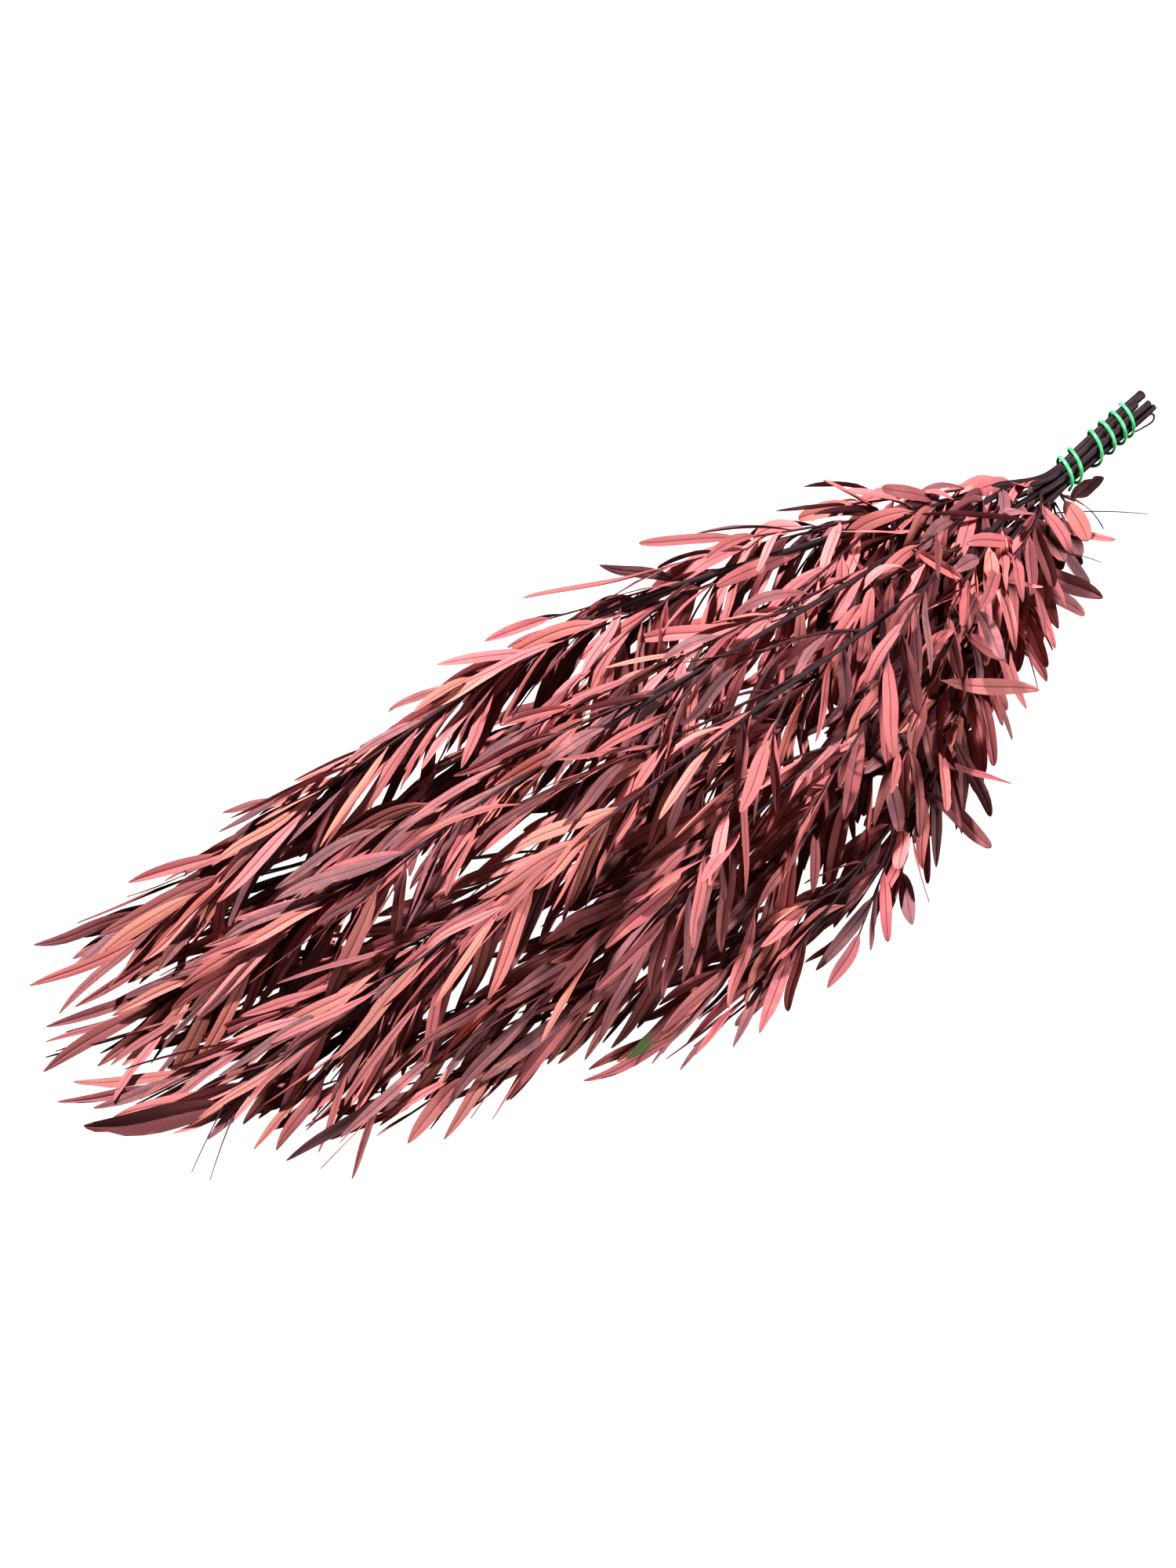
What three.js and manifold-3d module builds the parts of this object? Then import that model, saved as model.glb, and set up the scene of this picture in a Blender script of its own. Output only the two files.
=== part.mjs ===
// A bunch of dyed, preserved willow-leaf eucalyptus: eight leafy stems that lie side by side on a table,
// held together near their cut ends by a green elastic wound round them.
// Millimetres, +Z up. The bunch lies along X with its cut ends towards +X, and rests on z = 0.

import * as THREE from "three";
import { mergeVertices } from "three/addons/utils/BufferGeometryUtils.js";
import Module from "manifold-3d";

const wasm = await Module();
wasm.setup();

const { clamp } = THREE.MathUtils;
const DEGREE = Math.PI / 180;
const UP = new THREE.Vector3(0, 0, 1);
const point = (x, y, z) => new THREE.Vector3(x, y, z);

// Moves the bunch so that the origin lies under its middle. All other places are before this move.
const CENTRING = point(-3.9, -5, 0);

// The handle: the straight, tied part of the bunch
const HANDLE_FOOT = point(298, 19, 109); // its middle where the stems part
const HANDLE_WAY = point(58, 0, 21).normalize(); // towards the cut ends
const HANDLE_LENGTH = 70;
const HANDLE_RADIUS = 7.6; // a circle that holds every stem

// Each stem: its radius at the cut, its angle round the handle (0 is the far side, 90 the top) and
// distance from the middle there, how far its cut end stands past the handle, the share of their length
// by which its twigs sink, how many twigs the rule gives it, and its points past the handle's foot.
const STEMS = [
  {
    radius: 2.7, slot: 40, out: 4.9, cut: 7, sag: 0, twigs: 11,
    path: [[256, 27, 119], [214, 31, 121], [122, 50, 121], [15, 83, 107], [-80, 99, 79], [-165, 113, 40],
      [-250, 130, 12]],
  },
  {
    radius: 1.9, slot: 96, out: 5.7, cut: -2, sag: 0, twigs: 11,
    path: [[256, 17, 122], [214, 10, 125], [132, 2, 126], [41, -4, 124], [-50, 2, 108], [-140, 18, 77],
      [-213, 42, 42], [-300, 62, 11]],
  },
  {
    radius: 1.8, slot: 143, out: 5.8, cut: 4, sag: 0.05, twigs: 12,
    path: [[256, 7, 117], [214, -6, 118], [123, -26, 118], [30, -38, 113], [-60, -42, 98], [-145, -34, 68],
      [-220, -24, 36], [-306, -14, 9]],
  },
  {
    radius: 1.7, slot: 236, out: 5.9, cut: 5, sag: 0.24, twigs: 10,
    path: [[256, 2, 95], [220, -16, 84], [147, -46, 66], [58, -68, 50], [-40, -80, 36], [-130, -82, 22],
      [-226, -72, 8]],
  },
  {
    radius: 1.7, slot: 283, out: 5.9, cut: 0, sag: 0.2, twigs: 8,
    path: [[262, 6, 88], [230, -14, 74], [176, -44, 52], [110, -72, 34], [30, -98, 18], [-44, -122, 8]],
  },
  {
    radius: 1.8, slot: 220, out: 1.3, cut: -3, sag: 0.34, twigs: 12,
    path: [[256, 18, 96], [214, 12, 84], [130, 2, 66], [40, -4, 50], [-60, 0, 34], [-160, 6, 18],
      [-262, 12, 7]],
  },
  {
    radius: 1.7, slot: 330, out: 5.9, cut: 2, sag: 0.3, twigs: 12,
    path: [[256, 32, 102], [214, 44, 92], [130, 62, 78], [40, 84, 60], [-60, 98, 40], [-150, 94, 20],
      [-236, 84, 8]],
  },
  {
    radius: 1.8, slot: 189, out: 5.8, cut: 6, sag: 0.1, twigs: 12,
    path: [[256, 2, 108], [214, -14, 102], [123, -46, 90], [30, -64, 78], [-60, -68, 58], [-145, -60, 36],
      [-248, -44, 10]],
  },
];
const STEM_TIP_RADIUS = 1.1;
const STEM_SIDES = 6;
const STEM_STEP = 52; // length of one straight piece of a stem

// A strip of bark hangs from the cut end of the fourth stem and hooks back under the elastic. Each
// point: its distance along the handle and from the handle's middle.
const BARK_STRIP = {
  stem: 3, slot: 228, radius: 0.6,
  points: [[72, 5.9], [74.5, 8.6], [72, 10.9], [66, 10.4], [58, 8.7]],
};

// The elastic: how far along the handle it lies at each half turn, by turns at the bundle's lower and
// upper edge as the photograph shows them
const TIE_ALONG = [4, 12.5, 11.5, 20.5, 28, 37.5, 39, 46, 48, 55, 54.5, 62.5];
const TIE_LOWER_EDGE = 220; // angle round the handle, in degrees
const TIE_RADIUS = 1.0;
const TIE_GAP = 0.35; // between the elastic and the stems
const TIE_SIDES = 6;
const TIE_STEPS = 5; // pieces in half a turn

// The space that the whole bunch fills, seen across: x, near side, far side, top and underside
const OUTLINE = [
  [-368, 18, 84, 12, 0],
  [-335, -4, 106, 24, 0],
  [-300, -36, 124, 36, 0],
  [-234, -82, 134, 60, 0],
  [-150, -108, 136, 90, 0],
  [-60, -120, 134, 118, 0],
  [60, -98, 130, 134, 0],
  [150, -56, 120, 141, 0],
  [230, -30, 92, 141, 12],
  [300, -38, 54, 134, 58],
  [345, -38, 40, 130, 78],
];
const HEAP_POWER = 2.4; // 2 would make the sections round, more makes them squarer
const TWIG_REACH = [0.66, 1.04]; // share of the outline in which a twig stays, drawn for each one
const LEAF_OUTREACH = 0.1; // share of the outline by which its leaves may reach further
const TAPER_LENGTH = 380; // along the bunch from the handle, over which the growth changes

// Twigs. Where a value is a pair, the first holds at the handle and the second from the bunch's middle on.
const TWIG_RADIUS = 1.3;
const TWIG_TIP_RADIUS = 0.95;
const TWIG_SIDES = 3;
const TWIG_STEP = 46;
const TWIG_LENGTH = [80, 132];
const TWIG_ANGLE = [38, 19]; // to the stem
const TWIG_DROOP = [0.4, 0.07]; // share of its length that its tip sinks on any stem
const TWIG_FLOOR = 2.2; // height of the lowest twigs' middles
const TWIG_SPREAD = 0.6; // share of the step between twigs by which their starts vary
const TWIG_SIDE = 74; // degrees round the stem from its top, left and right in turn
const TWIG_SIDE_SPREAD = 110;
const TWIG_VARIATION = [0.75, 1.25]; // of its angle and of its length
const TWIG_DROOP_VARIATION = [0.5, 1.5];
const TWIG_BEND = 0.45; // share of its length at which it bends
const TWIG_STRAIGHTENING = 0.6; // share of its angle that is left at its tip
const FIRST_TWIG = 0.02; // shares of a stem's leafy part between which the twigs start
const LAST_TWIG = 0.84;

// Twigs that reach out of the bunch or stand out in the photograph: stem, share of its leafy part at
// which the twig starts, its tip and, where the photograph shows it, the tip of its last leaf. Each
// follows its stem for a share of its length, then turns.
const OUTLIER_BEND = 0.2;
const OUTLIER_TURN = 0.3;
const OUTLIER_TRIES = 9;
const OUTLIER_SHIFT = 0.012; // share of the leafy part by which each next try starts further on
const OUTLIERS = [
  [4, 0, [306, 9, 98], [333, 15, 101]],
  [3, 0, [302, 6, 94], [309, 4, 76]],
  [4, 0.01, [288, 0, 88], [312, -19, 84]],
  [3, 0.02, [271, -5, 88], [273, -20, 62]],
  [4, 0.04, [262, -7, 80], [285, -38, 66]],
  [3, 0.05, [250, -13, 76], [271, -38, 60]],
  [7, 0.07, [212, -21, 102], [239, -34, 92]],
  [4, 0.08, [246, -13, 66], [252, -34, 42]],
  [4, 0.14, [236, -24, 50], [245, -38, 26]],
  [4, 0.16, [218, -26, 62], [214, -53, 30]],
  [7, 0.15, [172, -40, 92], [190, -57, 76]],
  [2, 0.14, [163, -36, 107], [158, -54, 78]],
  [7, 0.2, [145, -49, 78], [200, -74, 62]],
  [4, 0.34, [124, -74, 48], [153, -103, 38]],
  [4, 0.38, [113, -77, 34], [126, -117, 16]],
  [3, 0.27, [109, -66, 60], [97, -91, 22]],
  [3, 0.31, [89, -70, 56], [84, -88, 30]],
  [4, 0.5, [77, -98, 12], [60, -127, 4]],
  [2, 0.18, [142, -11, 126], [130, -28, 96]],
  [1, 0.14, [166, -3, 131], [184, -24, 116]],
  [1, 0.02, [250, 15, 127], [242, 1, 113]],
  [1, 0.07, [219, 20, 128], [204, 4, 111]],
  [0, 0.02, [175, 59, 125], [138, 77, 127]],
  [0, 0.1, [183, 22, 134], [238, -18, 128]],
  [0, 0.07, [65, 84, 118], [-9, 116, 112]],
  [0, 0.17, [104, 68, 128], [58, 99, 128]],
  [0, 0.14, [190, 41, 126], [167, 80, 136]],
  [0, 0.22, [-3, 101, 104], [-38, 113, 98]],
  [0, 0.36, [-77, 102, 90], [-99, 118, 78]],
  [0, 0.52, [-171, 125, 46], [-192, 144, 38]],
  [0, 0.62, [-206, 126, 26], [-256, 143, 14]],
  [0, 0.72, [-256, 126, 14], [-312, 146, 9]],
  [0, 0.84, [-266, 112, 12], [-330, 122, 7]],
  [1, 0.3, [-64, 44, 92]],
  [1, 0.5, [-150, 58, 60]],
  [1, 0.74, [-292, 66, 12], [-346, 81, 6]],
  [1, 0.86, [-296, 48, 8], [-342, 24, 4]],
  [2, 0.45, [-116, -4, 92]],
  [2, 0.7, [-275, 14, 13], [-331, 16, 5]],
  [2, 0.78, [-264, -36, 8], [-307, -48, 4]],
  [2, 0.88, [-300, -17, 7], [-363, 19, 4]],
  [4, 0.6, [30, -118, 8]],
  [4, 0.76, [-66, -106, 12], [-125, -114, 6]],
  [4, 0.84, [-62, -122, 7], [-108, -136, 4]],
  [3, 0.74, [-200, -78, 12], [-246, -92, 4]],
  [7, 0.8, [-240, -62, 9], [-282, -95, 4]],
];

// Leaves, with pairs as above
const LEAF_STEP = [5.5, 8.1]; // along the twig from one real leaf to the next
const LEAF_EVERY = 5; // one real leaf in five is a solid here
const STEM_BARE = 0.5; // share of a stem's leafy part that bears only twigs
const TWIG_BARE = 0.14; // share of a twig that bears no leaves
const LEAF_LENGTH = [36, 57];
const LEAF_WIDTH = [9.4, 6.6];
const LEAF_VARIATION = [0.74, 1.26]; // of its length and of its width
const LEAF_THICKNESS = 1.3; // along its rib
const LEAF_ANGLE = [56, 20]; // to the twig
const LEAF_ANGLE_VARIATION = [0.6, 1.4];
const TIP_LEAF_ANGLE = 9;
const LEAF_TURN_SPREAD = 60;
const LEAF_BEND = 0.45; // share of its length at which it bends
const LEAF_REACH = 0.58; // share of its length from the bend's control point to its tip
const LEAF_HANG = [0.46, 0.14]; // how far gravity turns its near half down
const LEAF_DROOP = [1.25, 0.28]; // and its far half
const LEAF_DROOP_VARIATION = [0.1, 1.9];
const LEAF_SICKLE = 0.22; // share of its length by which a blade may bend sideways
const LEAF_ROLL = 70; // degrees that a blade turns about its length, to either side
const PRESSED_HEIGHT = 1.7; // a blade's section lower than this lies flat on the table
const LEAF_PLACE = 0.7; // where in its step a leaf stands
const LEAF_ROOT = 0.6; // how far a leaf's root lies past the middle of what bears it
const GOLDEN_ANGLE = 137.5;
const POINTED_SHARE = 0.1; // of the leaves next to the handle; it grows to all from the middle on
// Outlines of the solid leaves, as shares of a leaf's length and of its width. Their few corners stand
// out past the real, round outline, so that a solid leaf covers as much as a real one.
const BLUNT_LEAF = [[0.24, 0.9], [0.8, 1.06]];
const POINTED_LEAF = [[0.26, 0.86], [0.7, 1.02]];

// New growth keeps this far from all other growth. It is turned by so many degrees for each new try.
const TWIG_GAP = 0.5;
const TWIG_TRIES = 16;
const TWIG_TURN = 11;
const LEAF_GAP = 0.35;
const LEAF_TRIES = 24;
const LEAF_TURN = 47;

// Factors that give each stem, twig, leaf and try a seed of its own
const BRANCH_SEED = 61;
const TWIG_SEED = [5003, 211, 17, 7];
const LEAF_SEED = [3001, 131, 13, 1];

const WELD = 1e-4; // corners nearer than this are one

const mix = (pair, share) => pair[0] + (pair[1] - pair[0]) * share;

function seedOf([perParent, perNumber, perTry, first], parent, number, attempt) {
  return parent * perParent + number * perNumber + attempt * perTry + first;
}

// The same seed always gives the same numbers between 0 and 1.
function randomFrom(seed) {
  let state = seed >>> 0;
  return () => {
    state = (state + 0x6d2b79f5) >>> 0;
    let bits = Math.imul(state ^ (state >>> 15), state | 1);
    bits ^= bits + Math.imul(bits ^ (bits >>> 7), bits | 61);
    return ((bits ^ (bits >>> 14)) >>> 0) / 2 ** 32;
  };
}

// How far along the bunch a place is: 0 at the handle, 1 from the bunch's middle on
const alongBunch = (place) => clamp((HANDLE_FOOT.x - place.x) / TAPER_LENGTH, 0, 1);

function outlineAt(x) {
  const last = OUTLINE.length - 2;
  const station = clamp(OUTLINE.findLastIndex((row) => row[0] <= x), 0, last);
  const [left, right] = OUTLINE.slice(station, station + 2);
  const share = clamp((x - left[0]) / (right[0] - left[0]), 0, 1);
  const [, near, far, top, underside] = left.map((value, i) => mix([value, right[i]], share));
  return { near, far, top, underside };
}

// How far out a place is in the bunch's section: 0 on the floor in the middle, 1 at the outline
function outwards(place) {
  if (place.x < OUTLINE[0][0]) return Infinity;
  const { near, far, top } = outlineAt(place.x);
  const across = Math.abs(2 * place.y - near - far) / (far - near);
  return (across ** HEAP_POWER + Math.max(place.z / top, 0) ** HEAP_POWER) ** (1 / HEAP_POWER);
}

// A place brought inside a share of the outline
function drawnIn(place, reach) {
  const { near, far } = outlineAt(place.x);
  const pull = Math.min(1, reach / Math.max(outwards(place), 0.01));
  const middle = (near + far) / 2;
  return point(place.x, middle + (place.y - middle) * pull, place.z * pull);
}

// The end of a line from start, turned up at its full length until it is clear of the floor
function clearOfFloor(start, end, height) {
  const floor = height + outlineAt(end.x).underside;
  if (end.z >= floor) return end;
  const reach = start.distanceTo(end);
  const drop = Math.max(start.z - floor, 0);
  const flat = point(end.x - start.x, end.y - start.y, 0);
  flat.setLength(Math.sqrt(Math.max(reach * reach - drop * drop, 1)));
  return point(start.x + flat.x, start.y + flat.y, floor);
}

// Unit vectors square to a direction: one as near to up as it can be, and one to its left
function squareTo(direction) {
  const up = UP.clone().addScaledVector(direction, -direction.z).normalize();
  return { up, left: up.clone().cross(direction) };
}

// The unit vector at an angle from a direction, turned round it by so much from up
function away(direction, angle, turn) {
  const { up, left } = squareTo(direction);
  const out = up.multiplyScalar(Math.cos(turn)).addScaledVector(left, Math.sin(turn));
  return direction.clone().multiplyScalar(Math.cos(angle)).addScaledVector(out, Math.sin(angle));
}

// The place and the way at a share of a line of points
function alongLine(points, share) {
  const pieces = points.length - 1;
  const piece = clamp(Math.floor(share * pieces), 0, pieces - 1);
  const place = points[piece].clone().lerp(points[piece + 1], share * pieces - piece);
  const way = points[piece + 1].clone().sub(points[piece]).normalize();
  return { place, way };
}

function lengthOf(points) {
  return points.slice(1).reduce((sum, p, i) => sum + p.distanceTo(points[i]), 0);
}

// A closed surface through rings of points, each counter-clockwise about the way that the rings go.
// A ring of one point is a sharp end. Opposite faces of a blade are split along the same diagonals.
function loft(rings) {
  const index = [];
  let first = 0;
  for (let r = 0; r + 1 < rings.length; r += 1) {
    const near = rings[r].length;
    const far = rings[r + 1].length;
    const sides = Math.max(near, far);
    for (let i = 0; i < sides; i += 1) {
      const j = (i + 1) % sides;
      const [a, b] = [first + i, first + j];
      const [c, d] = [first + near + j, first + near + i];
      if (near === 1) index.push(first, c, d);
      else if (far === 1) index.push(a, b, first + near);
      else if (i % 2 === 1) index.push(a, b, c, a, c, d);
      else index.push(a, b, d, b, c, d);
    }
    first += near;
  }
  for (let i = 1; i + 1 < rings[0].length; i += 1) index.push(0, i + 1, i);
  for (let i = 1; i + 1 < rings.at(-1).length; i += 1) index.push(first, first + i, first + i + 1);
  const positions = rings.flat().flatMap((corner) => corner.toArray());
  const geometry = new THREE.BufferGeometry();
  geometry.setAttribute("position", new THREE.Float32BufferAttribute(positions, 3));
  geometry.setIndex(index);
  return geometry;
}

// A tapered rod along a line of points
function rod(points, sides, startRadius, endRadius) {
  const last = points.length - 1;
  const rings = points.map((centre, i) => {
    const way = points[Math.min(i + 1, last)].clone().sub(points[Math.max(i - 1, 0)]).normalize();
    const { up, left } = squareTo(way);
    const radius = mix([startRadius, endRadius], i / last);
    return Array.from({ length: sides }, (_, k) => {
      const turn = (2 * Math.PI * k) / sides;
      const spot = centre.clone().addScaledVector(up, radius * Math.cos(turn));
      return spot.addScaledVector(left, -radius * Math.sin(turn));
    });
  });
  return loft(rings);
}

function solidOf(geometry) {
  geometry.deleteAttribute("normal");
  geometry.deleteAttribute("uv");
  const merged = mergeVertices(geometry, WELD);
  return new wasm.Manifold(
    new wasm.Mesh({
      numProp: 3,
      vertProperties: merged.attributes.position.array,
      triVerts: new Uint32Array(merged.index.array),
    }),
  );
}

function geometryOf(solid) {
  const mesh = solid.getMesh();
  const geometry = new THREE.BufferGeometry();
  geometry.setAttribute("position", new THREE.BufferAttribute(mesh.vertProperties, 3));
  geometry.setIndex(new THREE.BufferAttribute(mesh.triVerts, 1));
  return geometry;
}

// A place in the handle: distance along it, distance from its middle, and angle round it in degrees
function inHandle(along, out, slot) {
  const { up, left } = squareTo(HANDLE_WAY);
  const place = HANDLE_FOOT.clone().addScaledVector(HANDLE_WAY, along);
  place.addScaledVector(left, out * Math.cos(slot * DEGREE));
  return place.addScaledVector(up, out * Math.sin(slot * DEGREE));
}

// The points of a stem from its cut end to its tip. Its leafy part starts at the second one.
function stemPoints(stem) {
  const cut = inHandle(HANDLE_LENGTH + stem.cut, stem.out, stem.slot);
  const middle = inHandle(HANDLE_LENGTH / 2, stem.out, stem.slot);
  const foot = inHandle(0, stem.out, stem.slot);
  const line = [middle, foot, ...stem.path.map((p) => point(...p))];
  const curve = new THREE.CatmullRomCurve3(line);
  const start = 1 / (line.length - 1);
  const pieces = Math.round(lengthOf(line.slice(1)) / STEM_STEP);
  const leafy = Array.from({ length: pieces + 1 }, (_, i) => curve.getPoint(mix([start, 1], i / pieces)));
  return [cut, ...leafy];
}

// The points of a twig from its root in the stem: it leaves the stem to one side and bends on to its tip.
function twigPoints(root, bend, tip) {
  const bendClear = clearOfFloor(root, bend, TWIG_FLOOR);
  const curve = new THREE.QuadraticBezierCurve3(root, bendClear, clearOfFloor(bendClear, tip, TWIG_FLOOR));
  return curve.getPoints(Math.max(2, Math.round(curve.getLength() / TWIG_STEP)));
}

// A twig by rule. Each next attempt starts it round to another side.
function ruledTwig(stem, index, attempt) {
  const random = randomFrom(seedOf(TWIG_SEED, stem.seed, index, attempt));
  const share = (index + 0.5 + TWIG_SPREAD * (random() - 0.5)) / stem.twigs;
  const { place, way } = alongLine(stem.leafy, mix([FIRST_TWIG, LAST_TWIG], share));
  const far = alongBunch(place);
  const side = TWIG_SIDE + TWIG_SIDE_SPREAD * (random() - 0.5) + attempt * TWIG_TURN;
  const turn = (index % 2 === 0 ? side : -side) * DEGREE;
  const angle = mix(TWIG_ANGLE, far) * mix(TWIG_VARIATION, random()) * DEGREE;
  const length = mix(TWIG_LENGTH, far) * mix(TWIG_VARIATION, random());
  const bend = place.clone().addScaledVector(away(way, angle, turn), TWIG_BEND * length);
  const tip = place.clone().addScaledVector(away(way, TWIG_STRAIGHTENING * angle, turn), length);
  const droop = (mix(TWIG_DROOP, far) + stem.sag) * mix(TWIG_DROOP_VARIATION, random());
  tip.z -= length * droop;
  const reach = mix(TWIG_REACH, random());
  return { points: twigPoints(place, bend, drawnIn(tip, reach)), reach };
}

// A twig to a given tip, with its last leaf to one too
function outlyingTwig(stem, share, tip, leafTip) {
  const { place, way } = alongLine(stem.leafy, share);
  const length = place.distanceTo(tip);
  const bend = place.clone().addScaledVector(way, OUTLIER_BEND * length).lerp(tip, OUTLIER_TURN);
  const reach = Math.max(1, outwards(leafTip || tip));
  return { points: twigPoints(place, bend, tip), reach, leafTip };
}

// The shape of one leaf, by its number among the branch's real leaves: its midrib, and its blade's
// side, width and outline
function leafShape(branch, number, attempt) {
  const random = randomFrom(seedOf(LEAF_SEED, branch.seed, number, attempt));
  const share = mix([branch.bare, 1], (number + LEAF_PLACE) / branch.leaves);
  const { place: root, way } = alongLine(branch.points, share);
  const far = alongBunch(root);
  const isLast = number === branch.leaves - 1;
  const spread = LEAF_TURN_SPREAD * (random() - 0.5);
  const turn = (number * GOLDEN_ANGLE + spread + attempt * LEAF_TURN) * DEGREE;
  const angle = isLast ? TIP_LEAF_ANGLE : mix(LEAF_ANGLE, far) * mix(LEAF_ANGLE_VARIATION, random());
  const ruled = away(way, angle * DEGREE, turn).addScaledVector(UP, -mix(LEAF_HANG, far));
  const ruledLength = mix(LEAF_LENGTH, far) * mix(LEAF_VARIATION, random());
  const given = isLast && branch.leafTip;
  const leave = (given ? given.clone().sub(root) : ruled).normalize();
  const length = given ? given.distanceTo(root) : ruledLength;
  const droop = mix(LEAF_DROOP, far) * mix(LEAF_DROOP_VARIATION, random());
  const settle = leave.clone().addScaledVector(UP, -droop).normalize();
  const sickle = LEAF_SICKLE * (random() - 0.5) * length;
  const bend = root.clone().addScaledVector(leave, LEAF_BEND * length);
  bend.addScaledVector(squareTo(leave).left, sickle);
  const bendClear = clearOfFloor(root, bend, LEAF_THICKNESS / 2);
  const end = given || bendClear.clone().addScaledVector(settle, LEAF_REACH * length);
  const tip = clearOfFloor(bendClear, end, LEAF_THICKNESS / 2);
  const midrib = new THREE.QuadraticBezierCurve3(root, bendClear, tip);
  const roll = 2 * LEAF_ROLL * (random() - 0.5) * DEGREE;
  const side = away(tip.clone().sub(root).normalize(), 90 * DEGREE, 90 * DEGREE + roll);
  const width = mix(LEAF_WIDTH, far) * mix(LEAF_VARIATION, random());
  const outline = random() > far + POINTED_SHARE ? BLUNT_LEAF : POINTED_LEAF;
  const sunkRoot = root.clone().addScaledVector(leave, -LEAF_ROOT);
  return { root: sunkRoot, midrib, side, width, outline };
}

// One section across a blade: its rib, its right edge and its left edge
function bladeSection(leaf, share, width) {
  const centre = leaf.midrib.getPoint(share);
  const way = leaf.midrib.getTangent(share);
  const side = leaf.side.clone().addScaledVector(way, -leaf.side.dot(way)).normalize();
  const steepest = Math.max(centre.z - LEAF_THICKNESS / 2, 0) / (width / 2);
  side.z = clamp(side.z, -steepest, steepest);
  side.addScaledVector(way, -side.dot(way)).normalize();
  const normal = way.clone().cross(side);
  const under = centre.clone().addScaledVector(normal, -LEAF_THICKNESS / 2);
  const rib = centre.clone().addScaledVector(normal, LEAF_THICKNESS / 2);
  const left = under.clone().addScaledVector(side, width / 2);
  const right = under.clone().addScaledVector(side, -width / 2);
  const isPressed = centre.z < PRESSED_HEIGHT;
  for (const edge of [left, right]) edge.z = isPressed ? 0 : Math.max(edge.z, 0);
  if (isPressed) rib.z = LEAF_THICKNESS;
  return [rib, right, left];
}

function leafSolid(leaf) {
  const sections = leaf.outline.map(([share, width]) => bladeSection(leaf, share, leaf.width * width));
  return solidOf(loft([[leaf.root], ...sections, [leaf.midrib.getPoint(1)]]));
}

// All that has grown so far, so that new growth can keep clear of it
const grown = [];

function boxesMeet(a, b, gap) {
  return [0, 1, 2].every((k) => a.min[k] - gap < b.max[k] && b.min[k] - gap < a.max[k]);
}

// Whether a solid keeps the gap to all that has grown, apart from what bears it
function isClear(solid, gap, bearer) {
  const box = solid.boundingBox();
  const others = grown.filter((g) => g.name !== bearer && boxesMeet(box, g.box, gap));
  return others.every((g) => g.solid.minGap(solid, gap) >= gap);
}

function keep(solid, node, name) {
  grown.push({ solid, node, name, box: solid.boundingBox() });
}

// What a line of points bears: a share of it is bare, and real leaves stand all along the rest
function leafyBranch(line, bare, seed, name) {
  const step = mix(LEAF_STEP, alongBunch(line.points.at(-1)));
  const leaves = Math.max(1, Math.round(((1 - bare) * lengthOf(line.points)) / step));
  return { ...line, bare, seed, name, leaves };
}

function growStem(stem, node) {
  const points = stemPoints(stem);
  stem.leafy = points.slice(1);
  stem.seed = node + 1;
  stem.name = `stem ${node}`;
  const line = { points: stem.leafy, reach: 1 };
  stem.branches = [leafyBranch(line, STEM_BARE, stem.seed * BRANCH_SEED, stem.name)];
  keep(solidOf(rod(points, STEM_SIDES, stem.radius, STEM_TIP_RADIUS)), node, stem.name);
}

// Keeps a twig if it is clear of everything but its stem, and says whether it is
function growTwig(node, line) {
  const stem = STEMS[node];
  const solid = solidOf(rod(line.points, TWIG_SIDES, TWIG_RADIUS, TWIG_TIP_RADIUS));
  if (!isClear(solid, TWIG_GAP, stem.name)) return false;
  const count = stem.branches.length;
  const name = `twig ${count} of ${stem.name}`;
  stem.branches.push(leafyBranch(line, TWIG_BARE, stem.seed * BRANCH_SEED + count, name));
  keep(solid, node, name);
  return true;
}

function growTwigs() {
  for (const [node, share, tip, leafTip] of OUTLIERS) {
    const lastLeaf = leafTip && point(...leafTip);
    for (let attempt = 0; attempt < OUTLIER_TRIES; attempt += 1) {
      const start = share + attempt * OUTLIER_SHIFT;
      if (growTwig(node, outlyingTwig(STEMS[node], start, point(...tip), lastLeaf))) break;
    }
  }
  const most = Math.max(...STEMS.map((stem) => stem.twigs));
  for (let index = 0; index < most; index += 1) {
    for (const [node, stem] of STEMS.entries()) {
      for (let attempt = 0; index < stem.twigs && attempt < TWIG_TRIES; attempt += 1) {
        if (growTwig(node, ruledTwig(stem, index, attempt))) break;
      }
    }
  }
}

function growLeaf(node, branch, number) {
  for (let attempt = 0; attempt < LEAF_TRIES; attempt += 1) {
    const leaf = leafShape(branch, number, attempt);
    const solid = leafSolid(leaf);
    const isInside = outwards(leaf.midrib.v2) < branch.reach + LEAF_OUTREACH;
    if (isInside && isClear(solid, LEAF_GAP, branch.name)) {
      keep(solid, node, `leaf ${number} of ${branch.name}`);
      return;
    }
  }
}

// The leaves at the tips grow first, then the next ones back along every stem and twig
function growLeaves() {
  const branches = STEMS.flatMap((stem, node) => stem.branches.map((branch) => ({ node, branch })));
  const most = Math.max(...branches.map(({ branch }) => branch.leaves));
  for (let back = 1; back <= most; back += LEAF_EVERY) {
    for (const { node, branch } of branches) {
      if (back <= branch.leaves) growLeaf(node, branch, branch.leaves - back);
    }
  }
}

function growBarkStrip() {
  const { stem, slot, radius, points } = BARK_STRIP;
  const line = points.map(([along, out]) => inHandle(along, out, slot));
  keep(solidOf(rod(line, TWIG_SIDES, radius, radius)), stem, "bark strip");
}

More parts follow.
